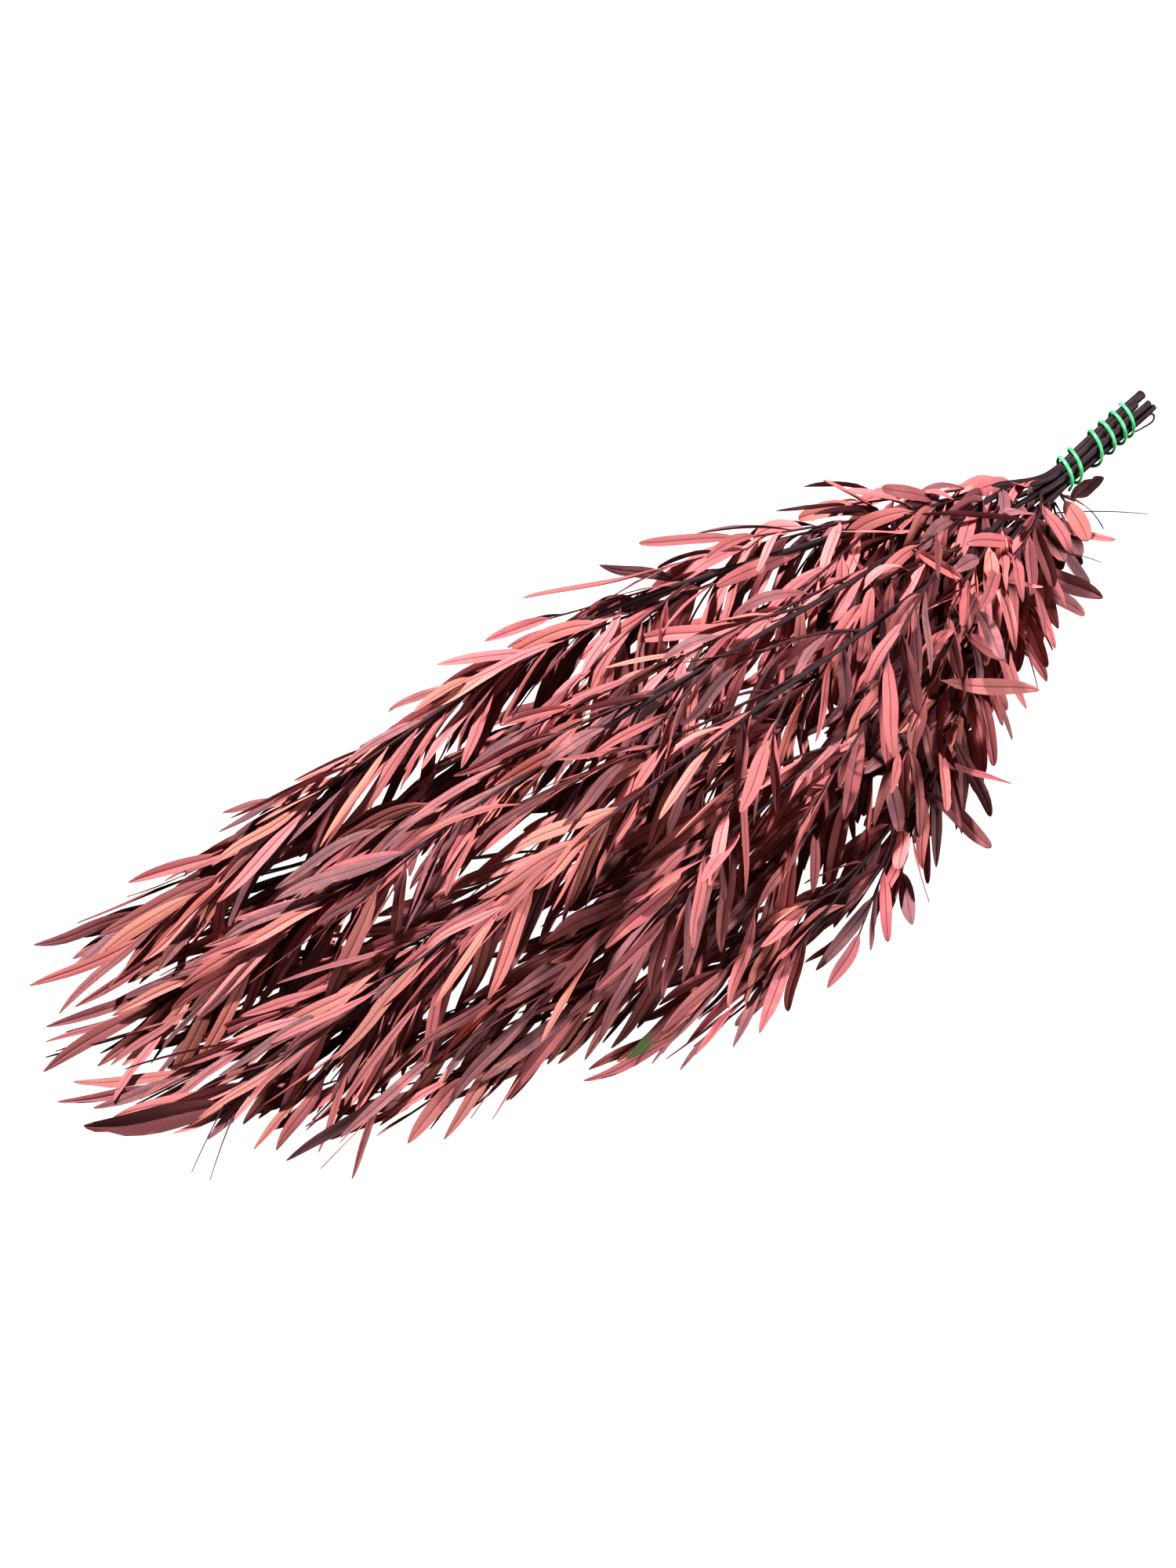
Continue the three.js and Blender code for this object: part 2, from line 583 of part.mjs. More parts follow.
function elasticTie() {
  const out = HANDLE_RADIUS + TIE_GAP + TIE_RADIUS;
  const steps = TIE_STEPS * (TIE_ALONG.length - 1);
  const line = Array.from({ length: steps + 1 }, (_, i) => {
    const half = Math.min(Math.floor(i / TIE_STEPS), TIE_ALONG.length - 2);
    const along = mix([TIE_ALONG[half], TIE_ALONG[half + 1]], i / TIE_STEPS - half);
    return inHandle(along, out, TIE_LOWER_EDGE - (180 * i) / TIE_STEPS);
  });
  const section = new THREE.Shape().absarc(0, 0, TIE_RADIUS, 0, 2 * Math.PI);
  const extrudePath = new THREE.CatmullRomCurve3(line);
  return new THREE.ExtrudeGeometry(section, { curveSegments: TIE_SIDES / 2, steps, extrudePath });
}

const dyedLeaf = new THREE.MeshStandardMaterial({ color: 0x9c4a4e, roughness: 0.62, metalness: 0 });
const greenElastic = new THREE.MeshStandardMaterial({ color: 0x35c877, roughness: 0.4, metalness: 0 });

STEMS.forEach(growStem);
growBarkStrip();
growTwigs();
growLeaves();

const bunch = new THREE.Group();
bunch.position.copy(CENTRING);
STEMS.forEach((stem, node) => {
  const solids = grown.filter((g) => g.node === node).map((g) => g.solid);
  const mesh = new THREE.Mesh(geometryOf(wasm.Manifold.union(solids)), dyedLeaf.clone());
  mesh.name = `leafy_stem_${node + 1}`;
  bunch.add(mesh);
});
const tie = new THREE.Mesh(geometryOf(solidOf(elasticTie())), greenElastic);
tie.name = "elastic_tie";
bunch.add(tie);

export default bunch;
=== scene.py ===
"""A tied bunch of dyed, preserved willow-leaf eucalyptus, lying on its side.

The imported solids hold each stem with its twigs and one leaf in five. This script grows the same
stems, twigs and leaves again in finer form, and adds the leaves that stand between them.
"""

import functools
import itertools
import math

import bpy
import numpy as np
from mathutils import Matrix, Vector
from mathutils.kdtree import KDTree


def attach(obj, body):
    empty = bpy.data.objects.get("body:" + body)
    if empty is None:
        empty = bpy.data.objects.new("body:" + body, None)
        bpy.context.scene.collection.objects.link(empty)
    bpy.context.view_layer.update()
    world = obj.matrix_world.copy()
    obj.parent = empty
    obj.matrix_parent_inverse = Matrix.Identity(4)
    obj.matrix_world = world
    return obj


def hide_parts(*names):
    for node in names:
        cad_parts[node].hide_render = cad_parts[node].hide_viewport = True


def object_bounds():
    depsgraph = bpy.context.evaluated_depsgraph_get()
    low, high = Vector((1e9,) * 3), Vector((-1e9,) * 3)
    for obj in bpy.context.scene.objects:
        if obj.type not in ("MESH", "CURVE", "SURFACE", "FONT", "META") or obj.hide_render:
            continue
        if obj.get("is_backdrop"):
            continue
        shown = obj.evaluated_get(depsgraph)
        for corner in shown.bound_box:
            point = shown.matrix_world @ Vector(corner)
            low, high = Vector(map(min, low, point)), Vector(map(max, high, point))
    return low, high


bl_info = {
    "name": "Preserved Eucalyptus Bunch",
    "version": (1, 0, 0),
    "blender": (4, 5, 0),
    "location": "View3D > Sidebar > Eucalyptus",
    "description": "Dresses the solids of a tied eucalyptus bunch with leaves, bark and elastic",
    "category": "Object",
}

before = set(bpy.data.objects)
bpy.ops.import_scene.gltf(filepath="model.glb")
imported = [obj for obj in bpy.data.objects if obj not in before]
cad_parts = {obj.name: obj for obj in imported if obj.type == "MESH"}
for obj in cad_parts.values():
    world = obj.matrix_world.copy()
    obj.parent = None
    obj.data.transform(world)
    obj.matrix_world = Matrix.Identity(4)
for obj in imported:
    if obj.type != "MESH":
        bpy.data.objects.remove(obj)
CAD_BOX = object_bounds()

# The growth below is worked out in millimetres and before the bunch is centred, as the solids
# were.
MM = 0.001
CENTRING = Vector((-3.9, -5, 0))
UP = Vector((0, 0, 1))
MATCH = 0.003  # a point this near to a solid's corner is that corner

# The handle: the straight, tied part of the bunch
HANDLE_FOOT = Vector((298, 19, 109))
HANDLE_WAY = Vector((58, 0, 21)).normalized()
HANDLE_LENGTH = 70
HANDLE_RADIUS = 7.6

# Each stem: radius at the cut, angle round the handle, distance from its middle, how far its cut
# end stands past it, how much its twigs sink, twigs by rule, and its points past the handle's foot
STEMS = (
    (2.7, 40, 4.9, 7, 0, 11, (
        (256, 27, 119), (214, 31, 121), (122, 50, 121), (15, 83, 107), (-80, 99, 79),
        (-165, 113, 40), (-250, 130, 12))),
    (1.9, 96, 5.7, -2, 0, 11, (
        (256, 17, 122), (214, 10, 125), (132, 2, 126), (41, -4, 124), (-50, 2, 108),
        (-140, 18, 77), (-213, 42, 42), (-300, 62, 11))),
    (1.8, 143, 5.8, 4, 0.05, 12, (
        (256, 7, 117), (214, -6, 118), (123, -26, 118), (30, -38, 113), (-60, -42, 98),
        (-145, -34, 68), (-220, -24, 36), (-306, -14, 9))),
    (1.7, 236, 5.9, 5, 0.24, 10, (
        (256, 2, 95), (220, -16, 84), (147, -46, 66), (58, -68, 50), (-40, -80, 36),
        (-130, -82, 22), (-226, -72, 8))),
    (1.7, 283, 5.9, 0, 0.2, 8, (
        (262, 6, 88), (230, -14, 74), (176, -44, 52), (110, -72, 34), (30, -98, 18),
        (-44, -122, 8))),
    (1.8, 220, 1.3, -3, 0.34, 12, (
        (256, 18, 96), (214, 12, 84), (130, 2, 66), (40, -4, 50), (-60, 0, 34), (-160, 6, 18),
        (-262, 12, 7))),
    (1.7, 330, 5.9, 2, 0.3, 12, (
        (256, 32, 102), (214, 44, 92), (130, 62, 78), (40, 84, 60), (-60, 98, 40), (-150, 94, 20),
        (-236, 84, 8))),
    (1.8, 189, 5.8, 6, 0.1, 12, (
        (256, 2, 108), (214, -14, 102), (123, -46, 90), (30, -64, 78), (-60, -68, 58),
        (-145, -60, 36), (-248, -44, 10))),
)
STEM_STEP = 52

# The strip of bark that hooks back from the fourth stem's cut end: distances along the handle and
# out
BARK_STRIP_STEM = 4
BARK_STRIP_SLOT = 228
BARK_STRIP = ((72, 5.9), (74.5, 8.6), (72, 10.9), (66, 10.4), (58, 8.7))
BARK_STRIP_STEPS = 24
BARK_STRIP_RADII = (0.65, 0.45)
BARK_STRIP_GRAIN = 0.5  # the radius that its material goes by

# The elastic, and first its place along the handle at each half turn
TIE_ALONG = (4, 12.5, 11.5, 20.5, 28, 37.5, 39, 46, 48, 55, 54.5, 62.5)
TIE_LOWER_EDGE = 220
TIE_RADIUS = 1.0
TIE_GAP = 0.35
TIE_STEPS = 5  # straight pieces of the solid in half a turn
TIE_FINENESS = 4  # rings for each of these pieces
TIE_SIDES = 16
TIE_SECTION = (1.06, 0.86)  # width and thickness, as shares of the solid's
TIE_SWELL = 0.05
TIE_SWELL_TURN = 0.21  # radians from ring to ring
TIE_SEED = 9
TIE_RIBS = 9.0

# The space that the bunch fills, seen across: x, near side, far side, top and underside
OUTLINE = (
    (-368, 18, 84, 12, 0),
    (-335, -4, 106, 24, 0),
    (-300, -36, 124, 36, 0),
    (-234, -82, 134, 60, 0),
    (-150, -108, 136, 90, 0),
    (-60, -120, 134, 118, 0),
    (60, -98, 130, 134, 0),
    (150, -56, 120, 141, 0),
    (230, -30, 92, 141, 12),
    (300, -38, 54, 134, 58),
    (345, -38, 40, 130, 78),
)
HEAP_POWER = 2.4
TWIG_REACH = (0.66, 1.04)
LEAF_OUTREACH = 0.1
TAPER_LENGTH = 380

# Twigs. The first value of a pair holds at the handle, the second from the bunch's middle on.
TWIG_SOLID_RADII = (1.3, 0.95)  # of the solids' twigs at root and tip
TWIG_SIDES = 3  # of the solids' twigs
TWIG_STEP = 46
TWIG_LENGTH = (80, 132)
TWIG_ANGLE = (38, 19)
TWIG_DROOP = (0.4, 0.07)
TWIG_FLOOR = 2.2
TWIG_SPREAD = 0.6
TWIG_SIDE = 74
TWIG_SIDE_SPREAD = 110
TWIG_VARIATION = (0.75, 1.25)
TWIG_DROOP_VARIATION = (0.5, 1.5)
TWIG_BEND = 0.45
TWIG_STRAIGHTENING = 0.6
FIRST_TWIG = 0.02
LAST_TWIG = 0.84
TWIG_TRIES = 16
TWIG_TURN = 11

# Twigs that reach out of the bunch or stand out in the photograph: stem, share of its leafy part
# where the twig starts, its tip and, where the photograph shows it, the tip of its last leaf
OUTLIER_BEND = 0.2
OUTLIER_TURN = 0.3
OUTLIER_TRIES = 9
OUTLIER_SHIFT = 0.012
OUTLIERS = (
    (4, 0, (306, 9, 98), (333, 15, 101)),
    (3, 0, (302, 6, 94), (309, 4, 76)),
    (4, 0.01, (288, 0, 88), (312, -19, 84)),
    (3, 0.02, (271, -5, 88), (273, -20, 62)),
    (4, 0.04, (262, -7, 80), (285, -38, 66)),
    (3, 0.05, (250, -13, 76), (271, -38, 60)),
    (7, 0.07, (212, -21, 102), (239, -34, 92)),
    (4, 0.08, (246, -13, 66), (252, -34, 42)),
    (4, 0.14, (236, -24, 50), (245, -38, 26)),
    (4, 0.16, (218, -26, 62), (214, -53, 30)),
    (7, 0.15, (172, -40, 92), (190, -57, 76)),
    (2, 0.14, (163, -36, 107), (158, -54, 78)),
    (7, 0.2, (145, -49, 78), (200, -74, 62)),
    (4, 0.34, (124, -74, 48), (153, -103, 38)),
    (4, 0.38, (113, -77, 34), (126, -117, 16)),
    (3, 0.27, (109, -66, 60), (97, -91, 22)),
    (3, 0.31, (89, -70, 56), (84, -88, 30)),
    (4, 0.5, (77, -98, 12), (60, -127, 4)),
    (2, 0.18, (142, -11, 126), (130, -28, 96)),
    (1, 0.14, (166, -3, 131), (184, -24, 116)),
    (1, 0.02, (250, 15, 127), (242, 1, 113)),
    (1, 0.07, (219, 20, 128), (204, 4, 111)),
    (0, 0.02, (175, 59, 125), (138, 77, 127)),
    (0, 0.1, (183, 22, 134), (238, -18, 128)),
    (0, 0.07, (65, 84, 118), (-9, 116, 112)),
    (0, 0.17, (104, 68, 128), (58, 99, 128)),
    (0, 0.14, (190, 41, 126), (167, 80, 136)),
    (0, 0.22, (-3, 101, 104), (-38, 113, 98)),
    (0, 0.36, (-77, 102, 90), (-99, 118, 78)),
    (0, 0.52, (-171, 125, 46), (-192, 144, 38)),
    (0, 0.62, (-206, 126, 26), (-256, 143, 14)),
    (0, 0.72, (-256, 126, 14), (-312, 146, 9)),
    (0, 0.84, (-266, 112, 12), (-330, 122, 7)),
    (1, 0.3, (-64, 44, 92)),
    (1, 0.5, (-150, 58, 60)),
    (1, 0.74, (-292, 66, 12), (-346, 81, 6)),
    (1, 0.86, (-296, 48, 8), (-342, 24, 4)),
    (2, 0.45, (-116, -4, 92)),
    (2, 0.7, (-275, 14, 13), (-331, 16, 5)),
    (2, 0.78, (-264, -36, 8), (-307, -48, 4)),
    (2, 0.88, (-300, -17, 7), (-363, 19, 4)),
    (4, 0.6, (30, -118, 8)),
    (4, 0.76, (-66, -106, 12), (-125, -114, 6)),
    (4, 0.84, (-62, -122, 7), (-108, -136, 4)),
    (3, 0.74, (-200, -78, 12), (-246, -92, 4)),
    (7, 0.8, (-240, -62, 9), (-282, -95, 4)),
)

# Leaves, with pairs as above
LEAF_STEP = (5.5, 8.1)
LEAF_EVERY = 5  # one leaf in five is in the solids
STEM_BARE = 0.5
TWIG_BARE = 0.14
LEAF_LENGTH = (36, 57)
LEAF_WIDTH = (9.4, 6.6)
LEAF_VARIATION = (0.74, 1.26)
LEAF_THICKNESS = 1.3  # of the solids' leaves
LEAF_ANGLE = (56, 20)
LEAF_ANGLE_VARIATION = (0.6, 1.4)
TIP_LEAF_ANGLE = 9
LEAF_TURN_SPREAD = 60
LEAF_BEND = 0.45
LEAF_REACH = 0.58
LEAF_HANG = (0.46, 0.14)
LEAF_DROOP = (1.25, 0.28)
LEAF_DROOP_VARIATION = (0.1, 1.9)
LEAF_SICKLE = 0.22
LEAF_ROLL = 70
LEAF_PLACE = 0.7
GOLDEN_ANGLE = 137.5
POINTED_SHARE = 0.1
LEAF_TRIES = 24
LEAF_TURN = 47

# Factors that give each stem, twig, leaf and try a seed of its own
BRANCH_SEED = 61
TWIG_SEED = (5003, 211, 17, 7)
LEAF_SEED = (3001, 131, 13, 1)

# Fine leaves. Their outline is along ** rise * (1 - along) ** fall, as a share of its greatest
# value.
BLUNT_LEAF = (0.62, 0.44)
POINTED_LEAF = (0.8, 0.7)
BLADE_START = 0.03  # share of a leaf's length where its blade starts, on a stalk
BLADE_RISE = 0.1  # share over which it comes to its full width
STALK_END = 0.14  # share over which the thick stalk thins to the blade
FOOT_SHARE = 0.3  # share over which leaves and twigs bend to the smooth line that they grow from
ROWS = (0, 0.04, 0.09, 0.17, 0.28, 0.4, 0.52, 0.64, 0.75, 0.85, 0.93, 0.978)
COLUMNS = (1, 0.55, 0.13, 0, -0.13, -0.55, -1)  # from the left edge over the top to the right one
STALK_WIDTH = 0.9
EDGE_WAVE = (0.9, 0.5)  # how far the edges wave up and down, as pairs above
WAVE_VARIATION = (0.3, 1)
WAVE_TURNS = (1.2, 2.8)
EDGE_THINNING = 0.65  # share of its thickness that a blade loses towards its edges
LEAF_SWAY = 0.035  # share of its length by which a blade sways to one side, then the other
LEAF_FOLD = (-0.12, 0.34)  # range of how steeply the two halves of a blade rise from the midrib
LEAF_TWIST = 24  # degrees from root to tip, to either side
TWIST_CENTRE = 0.25
GROOVE = 0.16  # depth of the midrib's groove above
RIDGE = 0.6  # height of its ridge below, as a share of that
FLOOR_GAP = 0.05
TIP_FLOOR_GAP = 0.1

# Leaves that stand out in the photograph, by their tip: width as a share of what the rule makes
# it, depth of the nick in one edge, place in the range of dyes, and 2 where a patch near the tip
# has stayed green
MARKED_LEAVES = {
    (-363, 19, 4): (1.75, 0.5, 0.3, 0),
    (333, 15, 101): (1.2, 0.6, 0.05, 0),
    (-125, -114, 6): (1.1, 0, 0.3, 2),
}
NICK_DEPTH = (-1.4, 0.4)  # range of each other leaf's depth; under 0 there is no nick
NICK_LENGTH = 0.05
NICK_PLACES = (0.55, 0.9)
MARKED_NICK_PLACE = 0.86

# Bare filaments: stem, start and end
FILAMENTS = (
    (5, (293, 12, 94), (338, -18, 90)),
    (4, (275, -10, 86), (296, -24, 78)),
    (4, (230, -14, 70), (257, -27, 66)),
    (3, (-296, -14, 12), (-339, -41, 3)),
    (3, (-303, -26, 10), (-335, -51, 3)),
)
FILAMENT_RADII = (0.42, 0.22)
FILAMENT_BEND = 3
FILAMENT_STEPS = 16

# Leaves that only this script adds. Places sampled on their blades keep this gap from those of the
# other leaves, and a leaf that can't is left out. Between these places blades still cross.
ADDED_TRIES = 14
ADDED_GAP = 2.2
# Deep in the bunch they stand between the leaves' usual places too.
THICKET_REACH = 0.72  # share of the outline
THICKET_END = -230  # along the bunch
SAMPLE_SHARES = (0.3, 0.44, 0.58, 0.72, 0.86, 1)
SAMPLE_WIDTHS = (-0.7, 0, 0.7)

# Fine wood
STEM_SIDES_FINE = 14
TWIG_SIDES_FINE = 8
WOOD_STEP = 5
STEM_END_RADIUS = 0.8
TWIG_RADII = (0.95, 0.42)
NODE_SWELL = 0.28  # share by which a twig is thicker where a leaf stands
NODE_LENGTH = 1.6
BARK_RIBS = 0.035  # height of the ribs along the wood, as a share of its radius
BARK_BUMPS = 0.02
BEVEL_DEPTH = 0.4
BEVEL_SHARE = 0.8  # of the radius, at the cut end's very face

# Looks. Pairs are the range of a value, or where a step of it starts and ends.
DYE_STOPS = (0.08, 0.38, 0.72, 0.97)  # of the four dyes, from mauve to tan
# Painted shade: leaves at the handle are pushed towards the greyer mauve of shaded leaves
PAINTED_SHADE_SHIFT = 0.14  # how far the leaves at the handle lie towards mauve
BLOTCH_SHADE = 0.35
LEAF_SHADES = (0.62, 1.22)
# Painted shade: leaves get darker away from the handle, and darker still at the bunch's left end
PAINTED_SHADE_SPAN = (-0.32, -0.1)  # where along the bunch its left end darkens, in metres
END_PAINTED_SHADE = 0.74
HANDLE_PAINTED_LIGHT = 1.08  # brightness of the leaves at the handle
FAR_PAINTED_SHADE = -0.2  # what it changes by towards the bunch's middle
RIB_EDGE = (0.16, 0.5)  # millimetres from a leaf's midrib
RIB_SHADE = 0.78
VEIN_EDGE = (0.05, 0.28)
VEIN_SHADE = 0.22
VEIN_SLANT = -1.1
VEIN_WANDER = 1.4
TIP_SHADE = 0.55
UNDERSIDE_SHADE = 0.5
LEAF_ROUGHNESS = (0.58, 0.74)
BARK_STOPS = (0.3, 0.55, 0.8)  # of the dark, usual and pale bark
BARK_ROUGHNESS = (0.7, 0.5)
BARK_STRETCH = (1.0, 1.0, 0.06)
THIN_WOOD = (0.8, 1.4)  # mean radius

# Camera and light, in metres
TARGET = Vector((-0.0369, 0.022, 0.060))
VIEW_AZIMUTH = -39
VIEW_HEIGHT = 38
VIEW_DISTANCE = 1.9
IMAGE_HEIGHT = 2000
FOCAL_PIXELS = 4560
FRAMING = (-5 / IMAGE_HEIGHT, -18 / IMAGE_HEIGHT)
SENSOR = 36
KEY_PLACE = Vector((-0.7, 1.15, 2.8))
KEY_SIZE = 0.3
FILL_PLACE = Vector((1.4, -1.5, 0.8))
FILL_SIZE = 1.4
FLOOR_SIZE = 30


def mix(pair, share):
    return pair[0] + (pair[1] - pair[0]) * share


def clamp(value, low, high):
    return min(max(value, low), high)


def rounded(value):
    return math.floor(value + 0.5)


def seed_of(factors, parent, number, attempt):
    per_parent, per_number, per_try, first = factors
    return parent * per_parent + number * per_number + attempt * per_try + first


def random_from(seed):
    """The same seed always gives the same numbers between 0 and 1, the solids' own ones."""
    word = 0xFFFFFFFF
    state = seed & word

    def draw():
        nonlocal state
        state = (state + 0x6D2B79F5) & word
        bits = ((state ^ (state >> 15)) * (state | 1)) & word
        bits ^= (bits + (bits ^ (bits >> 7)) * (bits | 61)) & word
        return (bits ^ (bits >> 14)) / 2**32

    return draw


def along_bunch(place):
    """How far along the bunch a place is: 0 at the handle, 1 from the bunch's middle on."""
    return clamp((HANDLE_FOOT.x - place.x) / TAPER_LENGTH, 0, 1)


def outline_at(x):
    station = sum(row[0] <= x for row in OUTLINE) - 1
    station = clamp(station, 0, len(OUTLINE) - 2)
    left, right = OUTLINE[station], OUTLINE[station + 1]
    share = clamp((x - left[0]) / (right[0] - left[0]), 0, 1)
    return [mix(pair, share) for pair in zip(left, right)][1:]


def outwards(place):
    """How far out a place is in the bunch's section: 0 low in the middle, 1 at the outline."""
    if place.x < OUTLINE[0][0]:
        return math.inf
    near, far, top, _ = outline_at(place.x)
    across = abs(2 * place.y - near - far) / (far - near)
    height = max(place.z / top, 0)
    return (across**HEAP_POWER + height**HEAP_POWER) ** (1 / HEAP_POWER)


def drawn_in(place, reach):
    near, far, _, _ = outline_at(place.x)
    pull = min(1, reach / max(outwards(place), 0.01))
    middle = (near + far) / 2
    return Vector((place.x, middle + (place.y - middle) * pull, place.z * pull))


def clear_of_floor(start, end, height):
    """The end of a line from start, turned up at its full length until it is clear of the floor."""
    floor = height + outline_at(end.x)[3]
    if end.z >= floor:
        return end
    reach = (end - start).length
    drop = max(start.z - floor, 0)
    flat = Vector((end.x - start.x, end.y - start.y, 0)).normalized()
    flat *= math.sqrt(max(reach * reach - drop * drop, 1))
    return Vector((start.x + flat.x, start.y + flat.y, floor))


def square_to(direction):
    """Unit vectors square to a direction: one as near to up as it can be, and one to its left."""
    up = (UP - direction * direction.z).normalized()
    return up, up.cross(direction)


def away(direction, angle, turn):
    """The unit vector at an angle from a direction, turned round it from up, in degrees."""
    up, left = square_to(direction)
    turn = math.radians(turn)
    angle = math.radians(angle)
    out = up * math.cos(turn) + left * math.sin(turn)
    return direction * math.cos(angle) + out * math.sin(angle)


def along_line(points, share):
    pieces = len(points) - 1
    piece = clamp(math.floor(share * pieces), 0, pieces - 1)
    place = points[piece].lerp(points[piece + 1], share * pieces - piece)
    return place, (points[piece + 1] - points[piece]).normalized()


def length_of(points):
    return sum((b - a).length for a, b in zip(points, points[1:]))


def in_handle(along, out, slot):
    """A place in the handle: distance along it, distance from its middle, and angle round it."""
    up, left = square_to(HANDLE_WAY)
    turn = math.radians(slot)
    across = left * out * math.cos(turn)
    return HANDLE_FOOT + HANDLE_WAY * along + across + up * out * math.sin(turn)


def rounded_line(points):
    """A smooth curve through points, by its share from 0 to 1, even near close points."""
    pieces = len(points) - 1
    before = points[0] * 2 - points[1]
    after = points[-1] * 2 - points[-2]
    line = [before, *points, after]

    def at(share):
        piece = clamp(math.floor(share * pieces), 0, pieces - 1)
        part = share * pieces - piece
        a, b, c, d = line[piece : piece + 4]
        gaps = [(q - p).length_squared**0.25 for p, q in ((a, b), (b, c), (c, d))]
        middle = gaps[1] if gaps[1] > 1e-4 else 1
        first = gaps[0] if gaps[0] > 1e-4 else middle
        last = gaps[2] if gaps[2] > 1e-4 else middle
        leave = ((b - a) / first - (c - a) / (first + middle) + (c - b) / middle) * middle
        arrive = ((c - b) / middle - (d - b) / (middle + last) + (d - c) / last) * middle
        square = (c - b) * 3 - leave * 2 - arrive
        cube = (b - c) * 2 + leave + arrive
        return b + leave * part + square * part**2 + cube * part**3

    return at


def blade_width(outline, share):
    """A blade's width at a share of its length, as a share of its greatest width."""
    rise, fall = outline
    top = rise / (rise + fall)
    return (share / top) ** rise * ((1 - share) / (1 - top)) ** fall


def bent_line(start, bend, end):
    """A curve from start to end that heads for bend first, by its share from 0 to 1."""

    def at(share):
        rest = 1 - share
        return start * rest**2 + bend * (2 * rest * share) + end * share**2

    return at


class Branch:
    """A stem's or a twig's line: its corners in the solids, its smooth curve and its leaves."""

    def __init__(self, corners, curve, reach, bare, seed, radii, leaf_tip=None):
        self.corners = corners
        self.curve = curve
        self.reach = reach
        self.bare = bare
        self.seed = seed
        self.radii = radii
        self.leaf_tip = leaf_tip
        step = mix(LEAF_STEP, along_bunch(corners[-1]))
        self.places = max(1, rounded((1 - bare) * length_of(corners) / step))
        self.leaves = []

    def leaf_share(self, number):
        return mix((self.bare, 1), (number + LEAF_PLACE) / self.places)


class Stem:
    """One leafy stem: its cut end, its own line, its twigs, and the corners of its solid."""

    def __init__(self, number, dimensions):
        self.radius, slot, out, cut, self.sag, self.twigs, path = dimensions
        self.seed = number + 1
        self.node = f"leafy_stem_{self.seed}"
        self.cut = in_handle(HANDLE_LENGTH + cut, out, slot)
        middle = in_handle(HANDLE_LENGTH / 2, out, slot)
        foot = in_handle(0, out, slot)
        line = [middle, foot, *(Vector(p) for p in path)]
        whole = rounded_line(line)
        start = 1 / (len(line) - 1)
        pieces = rounded(length_of(line[1:]) / STEM_STEP)

        def leafy(share):
            return whole(mix((start, 1), share))

        self.handle = rounded_line([self.cut, middle, foot, leafy(1 / pieces)])
        corners = [leafy(i / pieces) for i in range(pieces + 1)]
        radii = (self.radius, STEM_END_RADIUS)
        self.branches = [Branch(corners, leafy, 1, STEM_BARE, self.seed * BRANCH_SEED, radii)]
        self.solid = self.corners_of_solid()

    @property
    def leafy(self):
        return self.branches[0].corners

    def corners_of_solid(self):
        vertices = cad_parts[self.node].data.vertices
        tree = KDTree(len(vertices))
        for i, vertex in enumerate(vertices):
            tree.insert(vertex.co / MM - CENTRING, i)
        tree.balance()
        return tree

    def is_solid(self, *places):
        """Whether any of these places is a corner of the stem's solid."""
        return any(self.solid.find(place)[2] < MATCH for place in places)

    def grow_twig(self, root, bend, tip, reach, leaf_tip=None):
        """Adds the twig if it is in the stem's solid, and says whether it is."""
        bend = clear_of_floor(root, bend, TWIG_FLOOR)
        curve = bent_line(root, bend, clear_of_floor(bend, tip, TWIG_FLOOR))
        length = length_of([curve(i / 200) for i in range(201)])
        pieces = max(2, rounded(length / TWIG_STEP))
        corners = [curve(i / pieces) for i in range(pieces + 1)]
        up, left = square_to((corners[2] - corners[0]).normalized())
        radius = mix(TWIG_SOLID_RADII, 1 / pieces)
        turns = [2 * math.pi * k / TWIG_SIDES for k in range(TWIG_SIDES)]
        ring = [corners[1] + (up * math.cos(t) - left * math.sin(t)) * radius for t in turns]
        if not self.is_solid(*ring):
            return False
        seed = self.seed * BRANCH_SEED + len(self.branches)
        self.branches.append(Branch(corners, curve, reach, TWIG_BARE, seed, TWIG_RADII, leaf_tip))
        return True

    def try_ruled_twig(self, index, attempt):
        random = random_from(seed_of(TWIG_SEED, self.seed, index, attempt))
        share = (index + 0.5 + TWIG_SPREAD * (random() - 0.5)) / self.twigs
        place, way = along_line(self.leafy, mix((FIRST_TWIG, LAST_TWIG), share))
        far = along_bunch(place)
        side = TWIG_SIDE + TWIG_SIDE_SPREAD * (random() - 0.5) + attempt * TWIG_TURN
        turn = side if index % 2 == 0 else -side
        angle = mix(TWIG_ANGLE, far) * mix(TWIG_VARIATION, random())
        length = mix(TWIG_LENGTH, far) * mix(TWIG_VARIATION, random())
        bend = place + away(way, angle, turn) * TWIG_BEND * length
        tip = place + away(way, TWIG_STRAIGHTENING * angle, turn) * length
        tip.z -= length * (mix(TWIG_DROOP, far) + self.sag) * mix(TWIG_DROOP_VARIATION, random())
        reach = mix(TWIG_REACH, random())
        return self.grow_twig(place, bend, drawn_in(tip, reach), reach)

    def try_outlying_twig(self, share, tip, leaf_tip):
        place, way = along_line(self.leafy, share)
        length = (tip - place).length
        bend = (place + way * OUTLIER_BEND * length).lerp(tip, OUTLIER_TURN)
        reach = max(1, outwards(leaf_tip or tip))
        return self.grow_twig(place, bend, tip, reach, leaf_tip)


